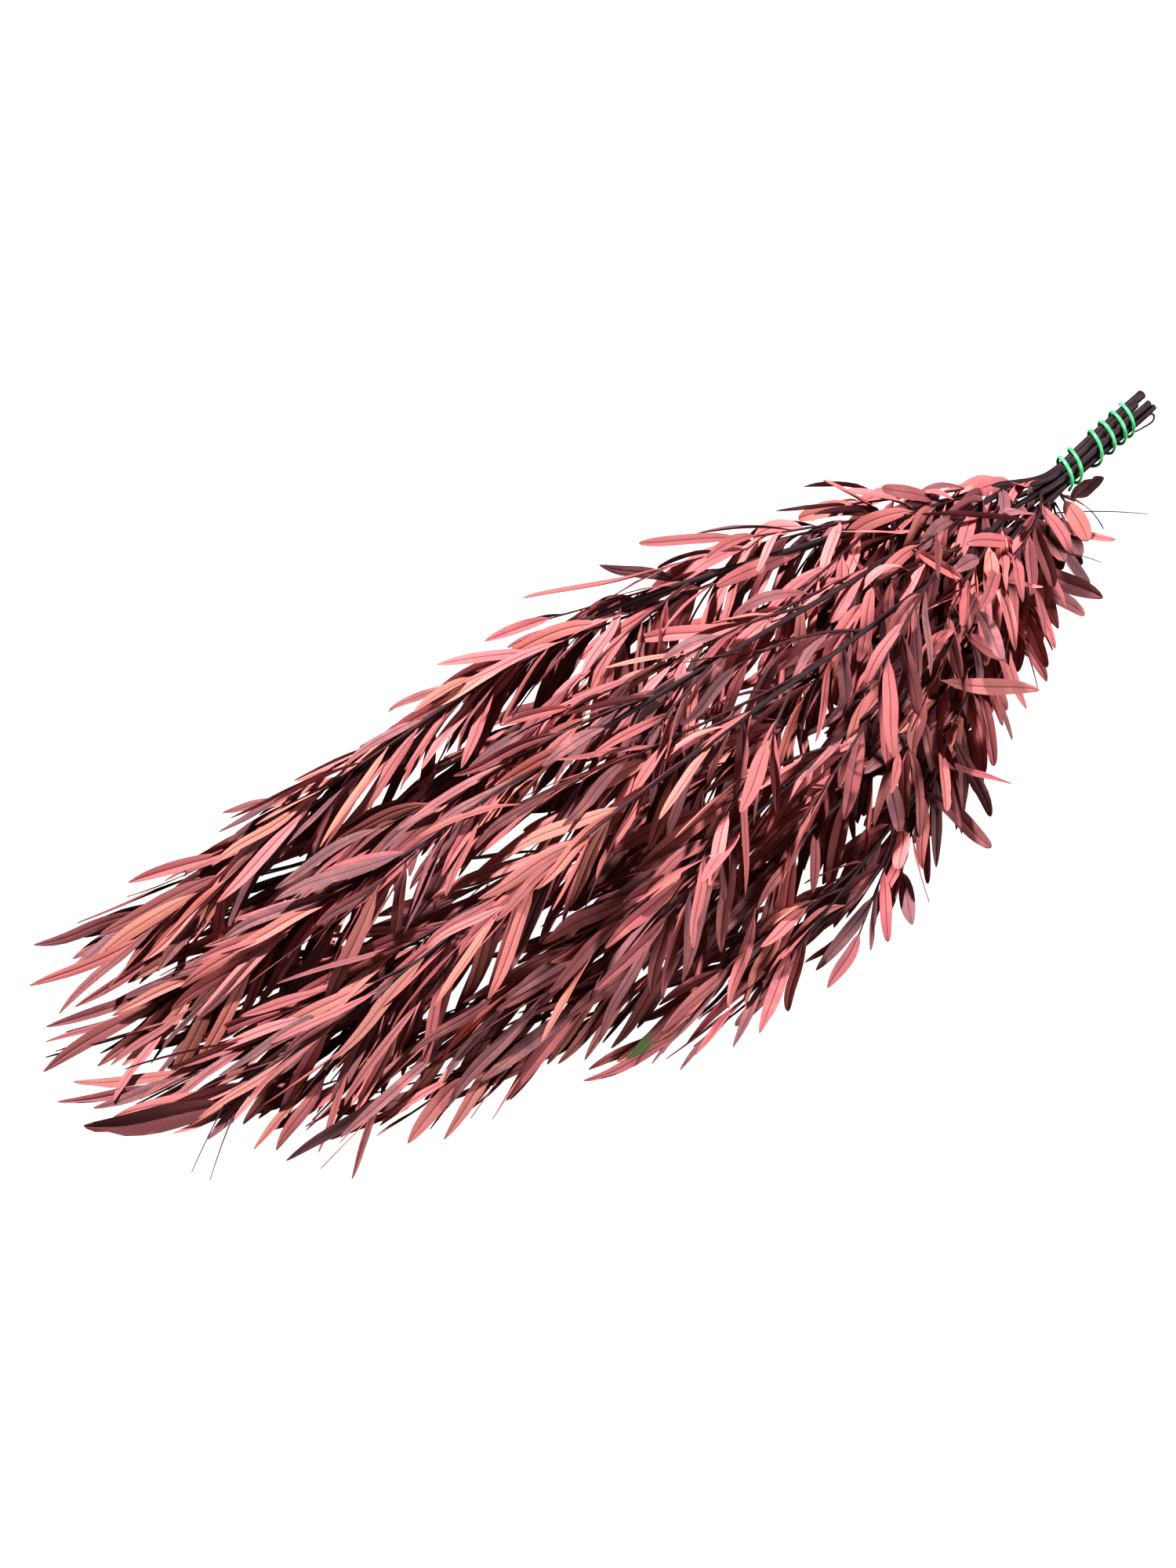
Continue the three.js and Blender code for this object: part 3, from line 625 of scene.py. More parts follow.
class Leaf:
    """The shape of one leaf, by its number among its branch's places."""

    def __init__(self, branch, number, attempt):
        random = random_from(int(seed_of(LEAF_SEED, branch.seed, number, attempt)))
        share = branch.leaf_share(number)
        self.root, way = along_line(branch.corners, share)
        self.foot = branch.curve(share)
        self.far = along_bunch(self.root)
        is_last = number == branch.places - 1
        spread = LEAF_TURN_SPREAD * (random() - 0.5)
        turn = number * GOLDEN_ANGLE + spread + attempt * LEAF_TURN
        angle = TIP_LEAF_ANGLE
        if not is_last:
            angle = mix(LEAF_ANGLE, self.far) * mix(LEAF_ANGLE_VARIATION, random())
        leave = away(way, angle, turn) - UP * mix(LEAF_HANG, self.far)
        self.length = mix(LEAF_LENGTH, self.far) * mix(LEAF_VARIATION, random())
        given = branch.leaf_tip if is_last else None
        if given is not None:
            leave = given - self.root
            self.length = leave.length
        self.leave = leave.normalized()
        droop = mix(LEAF_DROOP, self.far) * mix(LEAF_DROOP_VARIATION, random())
        settle = (self.leave - UP * droop).normalized()
        sickle = LEAF_SICKLE * (random() - 0.5) * self.length
        bend = self.root + self.leave * LEAF_BEND * self.length + square_to(self.leave)[1] * sickle
        self.bend = clear_of_floor(self.root, bend, LEAF_THICKNESS / 2)
        end = given if given is not None else self.bend + settle * LEAF_REACH * self.length
        self.tip = clear_of_floor(self.bend, end, LEAF_THICKNESS / 2)
        roll = 2 * LEAF_ROLL * (random() - 0.5)
        self.side = away((self.tip - self.root).normalized(), 90, 90 + roll)
        self.width = mix(LEAF_WIDTH, self.far) * mix(LEAF_VARIATION, random())
        self.outline = BLUNT_LEAF if random() > self.far + POINTED_SHARE else POINTED_LEAF
        self.mark = None if given is None else MARKED_LEAVES.get(tuple(given))
        if self.mark is not None:
            self.width *= self.mark[0]
        self.seed = int(seed_of(LEAF_SEED, branch.seed, number, 0))

    def samples(self):
        """Places all over the blade, to see whether it keeps clear of others."""
        midrib = bent_line(self.root, self.bend, self.tip)
        for share in SAMPLE_SHARES:
            half = self.width / 2 * blade_width(self.outline, share)
            for across in SAMPLE_WIDTHS:
                yield midrib(share) + self.side * across * half


class Crowd:
    """Places that are taken, kept in cubes of one gap's size so that neighbours are found fast."""

    def __init__(self, gap):
        self.gap = gap
        self.cubes = {}

    def cube(self, place):
        return tuple(math.floor(value / self.gap) for value in place)

    def add(self, places):
        for place in places:
            self.cubes.setdefault(self.cube(place), []).append(place)

    def is_clear(self, places):
        """Whether none of these places lies within the gap of a taken one."""
        return not any(self.is_taken(place) for place in places)

    def is_taken(self, place):
        near = self.gap * self.gap
        around = itertools.product(*((n, n - 1, n + 1) for n in self.cube(place)))
        others = (other for cube in around for other in self.cubes.get(cube, ()))
        return any((other - place).length_squared < near for other in others)


def solid_numbers(branch):
    """The leaf places that the solids try to fill: the tip, and each fifth one back from it."""
    return [branch.places - back for back in range(1, branch.places + 1, LEAF_EVERY)]


def find_solid_leaf(stem, branch, number):
    for attempt in range(LEAF_TRIES):
        leaf = Leaf(branch, number, attempt)
        if stem.is_solid(leaf.tip):
            return leaf
    return None


def added_leaf(branch, number, crowd):
    """The first try inside the outline whose sampled places keep clear of all others, or None."""
    for attempt in range(ADDED_TRIES):
        leaf = Leaf(branch, number, attempt)
        is_inside = outwards(leaf.tip) < branch.reach + LEAF_OUTREACH
        if is_inside and crowd.is_clear(leaf.samples()):
            return leaf
    return None


def grow_twigs(stems):
    """Grows the twigs in the solids' order, because each one's seed is its number on its stem."""
    for number, share, *tips in OUTLIERS:
        tip, leaf_tip = (*map(Vector, tips), None)[:2]
        starts = [share + attempt * OUTLIER_SHIFT for attempt in range(OUTLIER_TRIES)]
        any(stems[number].try_outlying_twig(start, tip, leaf_tip) for start in starts)
    for index in range(max(stem.twigs for stem in stems)):
        for stem in stems:
            if index < stem.twigs:
                any(stem.try_ruled_twig(index, attempt) for attempt in range(TWIG_TRIES))


@functools.cache
def grown_stems():
    """All stems with their twigs and leaves: first the solids' leaves, then those between them."""
    stems = [Stem(number, dimensions) for number, dimensions in enumerate(STEMS)]
    grow_twigs(stems)
    crowd = Crowd(ADDED_GAP)
    open_places = []
    between = []
    for stem in stems:
        for branch in stem.branches:
            for number in range(branch.places):
                leaf = None
                if number in solid_numbers(branch):
                    leaf = find_solid_leaf(stem, branch, number)
                if leaf is None:
                    open_places.append((branch, number))
                else:
                    branch.leaves.append(leaf)
                    crowd.add(leaf.samples())
            for number in range(branch.places - 1):
                foot = branch.curve(branch.leaf_share(number + 0.5))
                if foot.x > THICKET_END and outwards(foot) < THICKET_REACH:
                    between.append((branch, number + 0.5))
    for branch, number in open_places + between:
        leaf = added_leaf(branch, number, crowd)
        if leaf is not None:
            branch.leaves.append(leaf)
            crowd.add(leaf.samples())
    return stems


class Body:
    """Gathers the surfaces of one piece: points, faces, and what the material reads at points."""

    def __init__(self):
        self.points = []
        self.faces = []
        self.values = {}
        self.edges = []
        self.count = 0

    def add_rings(self, rings, edge_columns=(), tip=None, **values):
        """A closed surface through rings, an array of rows, columns and x, y, z, in millimetres."""
        rows, columns = rings.shape[:2]
        grid = self.count + np.arange(rows * columns).reshape(rows, columns)
        near, far = grid[:-1], grid[1:]
        beside = np.roll(near, -1, axis=1), np.roll(far, -1, axis=1)
        quads = np.stack([near, beside[0], beside[1], far], axis=-1).reshape(-1, 4)
        self.faces.extend(quads.tolist())
        self.faces.append(grid[0][::-1].tolist())
        points = rings.reshape(-1, 3)
        last = grid[-1].tolist()
        if tip is None:
            self.faces.append(last)
        else:
            end = self.count + rows * columns
            self.faces.extend([a, b, end] for a, b in zip(last, last[1:] + last[:1]))
            points = np.vstack([points, tip])
        self.points.append(points)
        for name, value in values.items():
            self.values.setdefault(name, []).append(value)
        edge = np.zeros(len(points), int)
        for mark, column in enumerate(edge_columns, start=1):
            edge[: rows * columns].reshape(rows, columns)[:, column] = mark
        self.edges.append(edge)
        self.count += len(points)

    def piece(self, name, material):
        """The finished object, in metres and centred as the solids are."""
        mesh = bpy.data.meshes.new(name)
        points = (np.vstack(self.points) + np.array(CENTRING)) * MM
        mesh.from_pydata(points.tolist(), [], self.faces)
        for key, rows in self.values.items():
            values = np.vstack(rows).astype(np.float32)
            attribute = mesh.attributes.new(key, "FLOAT_VECTOR", "POINT")
            attribute.data.foreach_set("vector", values.ravel())
        self.mark_edges(mesh)
        mesh.shade_smooth()
        mesh.materials.append(material)
        obj = bpy.data.objects.new(name, mesh)
        bpy.context.scene.collection.objects.link(obj)
        return obj

    def mark_edges(self, mesh):
        """Makes the edges along each of the marked columns sharp."""
        marks = np.concatenate(self.edges)
        if not marks.any():
            return
        ends = np.empty(len(mesh.edges) * 2, np.int32)
        mesh.edges.foreach_get("vertices", ends)
        a, b = marks[ends.reshape(-1, 2)].T
        sharp = mesh.attributes.new("sharp_edge", "BOOLEAN", "EDGE")
        sharp.data.foreach_set("value", (a > 0) & (a == b))


def unit(vectors):
    return vectors / np.maximum(np.linalg.norm(vectors, axis=-1, keepdims=True), 1e-9)


def per_point(*values):
    """A row of three values for each point of a grid, from arrays that spread over it."""
    return np.stack(np.broadcast_arrays(*values), axis=-1).reshape(-1, 3)


def leaf_rings(leaf, settings, rng):
    """A leaf's closed surface: rings of points round the blade from its stalk on, and its tip."""
    t = np.array(ROWS)[:, None]
    s = np.array(COLUMNS)[None, :]
    root, foot, bend, tip = (np.array(v) for v in (leaf.root, leaf.foot, leaf.bend, leaf.tip))
    centre = root * (1 - t) ** 2 + bend * 2 * t * (1 - t) + tip * t**2
    centre += (foot - root) * np.clip(1 - t / FOOT_SHARE, 0, 1) ** 2
    way = unit((bend - root) * (1 - t) + (tip - bend) * t)
    side = np.array(leaf.side)
    side = unit(side - way * (way @ side)[:, None])
    normal = np.cross(way, side)
    twist = np.radians(LEAF_TWIST * rng.uniform(-1, 1)) * (t - TWIST_CENTRE)
    cosine, sine = np.cos(twist), np.sin(twist)
    side, normal = side * cosine + normal * sine, normal * cosine - side * sine
    centre += side * LEAF_SWAY * leaf.length * rng.uniform(-1, 1) * np.sin(2 * np.pi * t) * t

    blade_start = np.clip((t - BLADE_START) / BLADE_RISE, 0, 1)
    stalk = STALK_WIDTH / leaf.width * (1 - t)
    half = leaf.width / 2 * np.maximum(blade_width(leaf.outline, t) * blade_start, stalk)
    thickness = settings.leaf_thickness / MM
    thick = thickness + (STALK_WIDTH - thickness) * np.clip(1 - t / STALK_END, 0, 1)
    fold = rng.uniform(*LEAF_FOLD) * blade_start
    wave = mix(EDGE_WAVE, leaf.far) * rng.uniform(*WAVE_VARIATION)
    phase = np.where(s < 0, *rng.uniform(0, 2 * np.pi, 2))
    turns = rng.uniform(*WAVE_TURNS)
    nick = max(0, rng.uniform(*NICK_DEPTH))
    nick_place = rng.uniform(*NICK_PLACES)
    if leaf.mark is not None:
        nick, nick_place = leaf.mark[1], MARKED_NICK_PLACE
    bite = 1 - nick * (s > 0) * np.exp(-(((t - nick_place) / NICK_LENGTH) ** 2))
    ripple = wave * s**2 * np.sin(turns * 2 * np.pi * t + phase) * blade_start * (1 - t)
    lift = fold * np.abs(s) * half + ripple
    groove = GROOVE * blade_start * (s == 0)
    spread = s * half * bite
    middle = centre[:, None] + side[:, None] * spread[..., None] + normal[:, None] * lift[..., None]
    lens = thick * (1 - EDGE_THINNING * s**2) / 2
    upper = middle + normal[:, None] * (lens - groove)[..., None]
    lower = middle - normal[:, None] * (lens + RIDGE * groove)[..., None]
    rings = np.concatenate([upper, lower[:, -2:0:-1]], axis=1)
    rings[..., 2] = np.maximum(rings[..., 2], FLOOR_GAP)
    tip[2] = max(tip[2], TIP_FLOOR_GAP)

    across = np.concatenate([s[0], s[0, -2:0:-1]])
    under = np.concatenate([np.zeros(len(s[0])), np.ones(len(s[0]) - 2)])
    place = np.vstack([per_point(across[None], t, under[None]), (0, 1, 0)])
    return rings, tip, place


def leaf_body(stem, settings):
    body = Body()
    edges = (0, len(COLUMNS) - 1)
    for branch in stem.branches:
        for leaf in branch.leaves:
            rng = np.random.default_rng(leaf.seed)
            rings, tip, place = leaf_rings(leaf, settings, rng)
            tint = rng.uniform(0, 1, 3)
            if leaf.mark is not None:
                tint = np.array((leaf.mark[2], tint[1], max(tint[2], leaf.mark[3])))
            tint = np.tile(tint, (len(place), 1))
            size = np.tile((leaf.length, leaf.width, leaf.far), (len(place), 1))
            body.add_rings(rings, edges, tip, leaf_place=place, leaf_tint=tint, leaf_size=size)
    return body


def add_rod(body, points, radii, sides, rng, thickness):
    """A rod along a line of points, with bark that is a little uneven."""
    points = np.array(points)
    ways = unit(np.gradient(points, axis=0))
    up = unit(np.array(UP) - ways * ways[:, 2:3])
    left = np.cross(up, ways)
    turns = np.arange(sides) * 2 * np.pi / sides
    ribs = 1 + BARK_RIBS * np.sin(turns * 3 + rng.uniform(0, 7))
    ribs = ribs + BARK_BUMPS * rng.uniform(-1, 1, (len(points), sides))
    reach = np.array(radii)[:, None] * ribs
    rings = points[:, None] + up[:, None] * (reach * np.cos(turns))[..., None]
    rings -= left[:, None] * (reach * np.sin(turns))[..., None]
    rings[..., 2] = np.maximum(rings[..., 2], FLOOR_GAP)
    steps = np.linalg.norm(np.diff(points, axis=0), axis=1)
    along = np.concatenate([[0], np.cumsum(steps)])
    place = per_point(np.cos(turns)[None], np.sin(turns)[None], along[:, None])
    grain = np.tile((rng.uniform(0, 99), thickness, 0), (len(place), 1))
    body.add_rings(rings, wood_place=place, wood_grain=grain)


def branch_radii(branch, shares):
    """A branch's radius at shares of its length: it tapers, and swells where its leaves stand."""
    nodes = np.array([branch.leaf_share(number) for number in range(branch.places)])
    reach = (shares[:, None] - nodes) * length_of(branch.corners) / NODE_LENGTH
    return mix(branch.radii, shares) * (1 + NODE_SWELL * np.exp(-(reach**2)).max(axis=1))


def with_handle(stem, points, radii):
    """A stem's points and radii, with its handle and the bevel of its cut end put before them."""
    count = rounded((stem.cut - points[0]).length / WOOD_STEP)
    handle = [stem.handle(2 / 3 * i / count) for i in range(count)]
    bevel = stem.cut + (stem.cut - handle[1]).normalized() * BEVEL_DEPTH
    start = [stem.radius * BEVEL_SHARE] + [stem.radius] * count
    return [bevel, *handle, *points], np.concatenate([start, radii])


def nearest_offset(branch, place):
    """From a place on the solids' straight pieces to the same place on the smooth curve."""
    pieces = len(branch.corners) - 1
    steps = [i / (pieces * 12) for i in range(pieces * 12 + 1)]
    share = min(steps, key=lambda s: (along_line(branch.corners, s)[0] - place).length_squared)
    return branch.curve(share) - along_line(branch.corners, share)[0]


def wood_body(stem):
    body = Body()
    rng = np.random.default_rng(stem.seed)
    for branch in stem.branches:
        count = rounded(length_of(branch.corners) / WOOD_STEP)
        shares = np.array([i / count for i in range(count + 1)])
        points = [branch.curve(share) for share in shares.tolist()]
        radii = branch_radii(branch, shares)
        if branch is stem.branches[0]:
            sides = STEM_SIDES_FINE
            points, radii = with_handle(stem, points, radii)
        else:
            sides = TWIG_SIDES_FINE
            offset = nearest_offset(stem.branches[0], points[0])
            bends = [max(1 - share / FOOT_SHARE, 0) ** 2 for share in shares.tolist()]
            points = [point + offset * bend for point, bend in zip(points, bends)]
        add_rod(body, points, radii, sides, rng, radii.mean())
    for number, *ends in FILAMENTS:
        if number == stem.seed:
            start, end = map(Vector, ends)
            line = bent_line(start, start.lerp(end, 0.5) + UP * FILAMENT_BEND, end)
            shares = np.linspace(0, 1, FILAMENT_STEPS + 1)
            points = [line(share) for share in shares]
            radii = mix(FILAMENT_RADII, shares)
            add_rod(body, points, radii, TWIG_SIDES_FINE, rng, FILAMENT_RADII[0])
    return body


def add_bark_strip(body):
    """A thin strip of bark that hangs from a cut end and hooks back under the elastic."""
    line = rounded_line([in_handle(along, out, BARK_STRIP_SLOT) for along, out in BARK_STRIP])
    points = [line(i / BARK_STRIP_STEPS) for i in range(BARK_STRIP_STEPS + 1)]
    radii = np.linspace(*BARK_STRIP_RADII, len(points))
    rng = np.random.default_rng(BARK_STRIP_STEM)
    add_rod(body, points, radii, TWIG_SIDES_FINE, rng, BARK_STRIP_GRAIN)


def elastic_body():
    """The elastic: a band that is a little wider than thick, on its way round the handle."""
    steps = TIE_STEPS * (len(TIE_ALONG) - 1)
    out = HANDLE_RADIUS + TIE_GAP + TIE_RADIUS
    corners = []
    for i in range(steps + 1):
        half = min(i // TIE_STEPS, len(TIE_ALONG) - 2)
        along = mix((TIE_ALONG[half], TIE_ALONG[half + 1]), i / TIE_STEPS - half)
        corners.append(in_handle(along, out, TIE_LOWER_EDGE - 180 * i / TIE_STEPS))
    curve = rounded_line(corners)
    count = steps * TIE_FINENESS
    points = np.array([curve(i / count) for i in range(count + 1)])
    ways = unit(np.gradient(points, axis=0))
    axis = np.array(HANDLE_WAY)
    outward = points - np.array([in_handle(0, 0, 0)])
    outward -= (outward @ axis)[:, None] * axis
    outward = unit(outward - ways * np.sum(outward * ways, axis=1, keepdims=True))
    beside = np.cross(ways, outward)
    turns = np.arange(TIE_SIDES) * 2 * np.pi / TIE_SIDES
    start = np.random.default_rng(TIE_SEED).uniform(0, 6)
    swell = 1 + TIE_SWELL * np.sin(np.arange(count + 1) * TIE_SWELL_TURN + start)
    wide, thick = ((TIE_RADIUS * share * swell)[:, None, None] for share in TIE_SECTION)
    rings = points[:, None] + outward[:, None] * thick * np.cos(turns)[None, :, None]
    rings = rings + beside[:, None] * wide * np.sin(turns)[None, :, None]
    along = np.arange(count + 1) * length_of(corners) / count
    body = Body()
    place = per_point(np.cos(turns)[None], np.sin(turns)[None], along[:, None])
    body.add_rings(rings, wood_place=place)
    return body


class Shading:
    """A new material, and short ways to add nodes to its shader."""

    def __init__(self, name):
        self.material = bpy.data.materials.new(name)
        self.material.use_nodes = True
        self.tree = self.material.node_tree
        self.tree.nodes.clear()
        self.shader = self.tree.nodes.new("ShaderNodeBsdfPrincipled")
        output = self.tree.nodes.new("ShaderNodeOutputMaterial")
        self.tree.links.new(self.shader.outputs[0], output.inputs["Surface"])

    def set_inputs(self, made, inputs):
        """Gives a node's inputs plain values, or links them to sockets."""
        for key, value in inputs.items():
            if isinstance(value, bpy.types.NodeSocket):
                self.tree.links.new(value, made.inputs[key])
            else:
                made.inputs[key].default_value = value

    def node(self, kind, inputs, **settings):
        """The outputs of a new node."""
        made = self.tree.nodes.new("ShaderNode" + kind)
        for name, value in settings.items():
            setattr(made, name, value)
        self.set_inputs(made, inputs)
        return made.outputs

    def maths(self, operation, *values):
        return self.node("Math", dict(enumerate(values)), operation=operation)[0]

    def times(self, first, second):
        return self.maths("MULTIPLY", first, second)

    def times_plus(self, first, second, third):
        return self.maths("MULTIPLY_ADD", first, second, third)

    def step(self, value, low, high, to_low=0.0, to_high=1.0):
        """A smooth step from to_low to to_high, as the value goes from low to high."""
        keys = ("Value", "From Min", "From Max", "To Min", "To Max")
        inputs = dict(zip(keys, (value, low, high, to_low, to_high)))
        return self.node("MapRange", inputs, interpolation_type="SMOOTHSTEP")[0]

    def mixed(self, share, first, second):
        return self.node("Mix", {0: share, 6: first, 7: (*second, 1)}, data_type="RGBA")[2]

    def ramp(self, share, positions, colours):
        outputs = self.node("ValToRGB", {0: share})
        elements = outputs[0].node.color_ramp.elements
        while len(elements) < len(positions):
            elements.new(0.5)
        for element, position, colour in zip(elements, positions, colours):
            element.position = position
            element.color = (*colour, 1)
        return outputs[0]

    def noise(self, vector, scale, detail=3.0, roughness=0.55):
        inputs = {"Vector": vector, "Scale": scale, "Detail": detail, "Roughness": roughness}
        return self.node("TexNoise", inputs)["Fac"]

    def attribute(self, name):
        return self.node("Attribute", {}, attribute_name=name)["Vector"]

    def parts(self, vector):
        return self.node("SeparateXYZ", {0: vector})

    def place(self):
        return self.node("TexCoord", {})["Object"]

    def bump(self, height, strength, distance):
        inputs = {"Strength": strength, "Distance": distance, "Height": height}
        return self.node("Bump", inputs)[0]

    def finished(self, **inputs):
        """The material, with the shader's own inputs set, by their names with _ for a space."""
        named = {key.replace("_", " "): value for key, value in inputs.items()}
        self.set_inputs(self.shader, named)
        return self.material


def leaf_material(settings):
    """Dyed leaf, painted shade: tint per leaf, midrib, side veins, blotches, greyer underside."""
    made = Shading("dyed_leaf")
    step, times, times_plus = made.step, made.times, made.times_plus
    across, along, under = made.parts(made.attribute("leaf_place"))
    tint, shade, brown = made.parts(made.attribute("leaf_tint"))
    length, width, far = made.parts(made.attribute("leaf_size"))
    place = made.place()

    dyes = (settings.leaf_mauve, settings.leaf_rose, settings.leaf_salmon, settings.leaf_tan)
    # Painted shade: at the handle the place among the dyes is pushed towards the greyer mauve
    dye = times_plus(made.maths("SUBTRACT", far, 1), PAINTED_SHADE_SHIFT, tint)
    colour = made.ramp(dye, DYE_STOPS, dyes)
    blotches = step(made.noise(place, 90, 4), 0.45, 0.75, 0, BLOTCH_SHADE)
    colour = made.mixed(blotches, colour, settings.leaf_tan)
    # Painted shade: the leaves darken away from the handle, and more at the bunch's left end
    end_painted_shade = step(made.parts(place)[0], *PAINTED_SHADE_SPAN, END_PAINTED_SHADE, 1)
    painted_falloff = times(end_painted_shade, times_plus(far, FAR_PAINTED_SHADE, HANDLE_PAINTED_LIGHT))
    value = times(step(shade, 0, 1, *LEAF_SHADES), painted_falloff)
    colour = made.node("HueSaturation", {"Value": value, "Color": colour})[0]

    off_rib = made.maths("ABSOLUTE", across)
    side_mm = times(off_rib, times(width, 0.5))
    along_mm = times(along, length)
    rib = step(side_mm, *RIB_EDGE, 1, 0)
    slant = times_plus(side_mm, VEIN_SLANT, along_mm)
    wander = times(made.noise(place, 260, 2), VEIN_WANDER)
    wavy = made.maths("ADD", slant, wander)
    from_vein = made.maths("PINGPONG", wavy, settings.vein_spacing / MM / 2)
    veins = step(from_vein, *VEIN_EDGE, 1, 0)
    dark = made.maths("MAXIMUM", times(veins, VEIN_SHADE), times(rib, RIB_SHADE))
    colour = made.mixed(dark, colour, settings.vein_colour)

    tips = times(step(along, 0.8, 1.0), step(brown, 0.3, 1.0))
    colour = made.mixed(times(tips, TIP_SHADE), colour, settings.tip_colour)
    patch = times(step(brown, 1.4, 1.6), step(along, 0.66, 0.78))
    colour = made.mixed(patch, colour, settings.green_patch)
    colour = made.mixed(times(under, UNDERSIDE_SHADE), colour, settings.leaf_mauve)

    fine = made.noise(place, 900, 3)
    relief = times_plus(rib, -0.6, times_plus(veins, -0.35, times(fine, 0.6)))
    return made.finished(
        Base_Color=colour, Roughness=step(fine, 0.3, 0.7, *LEAF_ROUGHNESS),
        Specular_IOR_Level=0.35, Normal=made.bump(relief, 0.45, 0.00035))


def bark_material(settings):
    """Dyed bark: dark brown with a purple cast, streaked along the wood, with small pale pores."""
    made = Shading("dyed_bark")
    step = made.step
    place = made.attribute("wood_place")
    seed = made.attribute("wood_grain")
    thin = step(made.parts(seed)[1], *THIN_WOOD, 1, 0)
    stretch = made.node("VectorMath", {0: place, 1: BARK_STRETCH}, operation="MULTIPLY")[0]
    spot = made.node("VectorMath", {0: stretch, 1: seed}, operation="ADD")[0]
    streaks = made.noise(spot, 3.2, 5, 0.65)
    barks = (settings.bark_dark, settings.bark_colour, settings.bark_pale)
    colour = made.ramp(streaks, BARK_STOPS, barks)
    colour = made.mixed(made.times(thin, 0.6), colour, settings.twig_colour)
    pores = made.node("TexVoronoi", {"Vector": made.place(), "Scale": 420.0})["Distance"]
    pore = step(pores, 0.08, 0.2, 0.35, 0)
    colour = made.mixed(pore, colour, settings.bark_pale)
    relief = made.times_plus(pore, 0.6, streaks)
    return made.finished(
        Base_Color=colour, Roughness=step(streaks, 0.3, 0.7, *BARK_ROUGHNESS),
        Specular_IOR_Level=0.3, Normal=made.bump(relief, 0.6, 0.0004))


def elastic_material(settings):
    """Green elastic: smooth and a little clear, with fine ribs along the band and dusty wear."""
    made = Shading("green_elastic")
    cosine, sine, _ = made.parts(made.attribute("wood_place"))
    wear = made.noise(made.place(), 260, 4)
    bright = (*settings.elastic_colour, 1)
    colour = made.mixed(made.step(wear, 0.42, 0.72), bright, settings.elastic_pale)
    angle = made.maths("ARCTAN2", sine, cosine)
    ribs = made.maths("SINE", made.times(angle, TIE_RIBS))
    relief = made.times_plus(ribs, 0.4, made.times(wear, 0.8))
    return made.finished(
        Base_Color=colour, Normal=made.bump(relief, 0.35, 0.0002), Roughness=0.34,
        Subsurface_Weight=0.25, Subsurface_Scale=0.002)


def colour_property(name, description, *default):
    return bpy.props.FloatVectorProperty(
        name=name, description=description, default=default, subtype="COLOR", size=3, min=0, max=1)


class EucalyptusSettings(bpy.types.PropertyGroup):
    """Sizes and colours of the bunch that a user would change"""

    leaf_thickness: bpy.props.FloatProperty(
        name="Leaf thickness", description="Thickness of a blade beside its midrib",
        default=0.00045, min=0.0002, max=0.001, unit="LENGTH", precision=5)
    vein_spacing: bpy.props.FloatProperty(
        name="Vein spacing", description="Distance between two side veins along the midrib",
        default=0.0026, min=0.0005, max=0.01, unit="LENGTH", precision=5)
    leaf_mauve: colour_property(
        "Mauve leaves", "Greyest dye, and the cast of the undersides", 0.22, 0.087, 0.1)
    leaf_rose: colour_property("Rose leaves", "Deep pink dye", 0.41, 0.1, 0.112)
    leaf_salmon: colour_property("Salmon leaves", "Usual dye on the leaves", 0.62, 0.178, 0.182)
    leaf_tan: colour_property(
        "Tan leaves", "Leaves and blotches that took little dye", 0.64, 0.22, 0.17)
    vein_colour: colour_property("Veins", "Dark midrib and side veins", 0.09, 0.015, 0.02)
    tip_colour: colour_property("Leaf tips", "Dried ends of the leaves", 0.16, 0.04, 0.03)
    green_patch: colour_property(
        "Green patch", "The one place on a leaf that the dye has missed", 0.07, 0.12, 0.03)
    bark_colour: colour_property("Bark", "Usual colour of the dyed bark", 0.027, 0.009, 0.013)
    bark_dark: colour_property("Dark bark", "Streaks in the bark", 0.012, 0.005, 0.007)
    bark_pale: colour_property("Pale bark", "Ridges and pores of the bark", 0.055, 0.023, 0.029)
    twig_colour: colour_property("Twigs", "Dye on the thin twigs", 0.075, 0.014, 0.018)
    elastic_colour: colour_property("Elastic", "Colour of the green elastic", 0.07, 0.56, 0.2)
    elastic_pale: colour_property(
        "Worn elastic", "Stretched and dusty parts of the elastic", 0.2, 0.74, 0.36)
    floor_colour: colour_property(
        "Floor", "How much of the lamps' light the white floor sends back", 0.06, 0.06, 0.06)
    floor_glow: bpy.props.FloatProperty(
        name="Floor glow", description="Light that the floor gives off, as a light table does",
        default=0.9, min=0)
    key_power: bpy.props.FloatProperty(
        name="Key light", description="Power of the light from above",
        default=220, min=0, unit="POWER")
    fill_power: bpy.props.FloatProperty(
        name="Fill light", description="Power of the broad light from the near side",
        default=60, min=0, unit="POWER")
    sky_strength: bpy.props.FloatProperty(
        name="Sky light", description="Strength of the even light from all round",
        default=0.08, min=0)


def settings_of(context):
    return context.scene.eucalyptus


def dress(body, name, material, node):
    """Puts a finished piece in the bunch in place of the solid that it stands for."""
    obj = body.piece(name, material)
    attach(obj, "root")
    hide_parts(node)


class EUCALYPTUS_OT_leaves(bpy.types.Operator):
    """Grow the leaves of every stem"""

    bl_idname = "eucalyptus.leaves"
    bl_label = "Leaves"

    def execute(self, context):
        settings = settings_of(context)
        material = leaf_material(settings)
        for stem in grown_stems():
            body = leaf_body(stem, settings)
            dress(body, f"leaves_{stem.seed}", material, stem.node)
        return {"FINISHED"}


class EUCALYPTUS_OT_wood(bpy.types.Operator):
    """Grow the stems and twigs"""

    bl_idname = "eucalyptus.wood"
    bl_label = "Stems and twigs"

    def execute(self, context):
        material = bark_material(settings_of(context))
        for stem in grown_stems():
            body = wood_body(stem)
            if stem.seed == BARK_STRIP_STEM:
                add_bark_strip(body)
            dress(body, f"wood_{stem.seed}", material, stem.node)
        return {"FINISHED"}


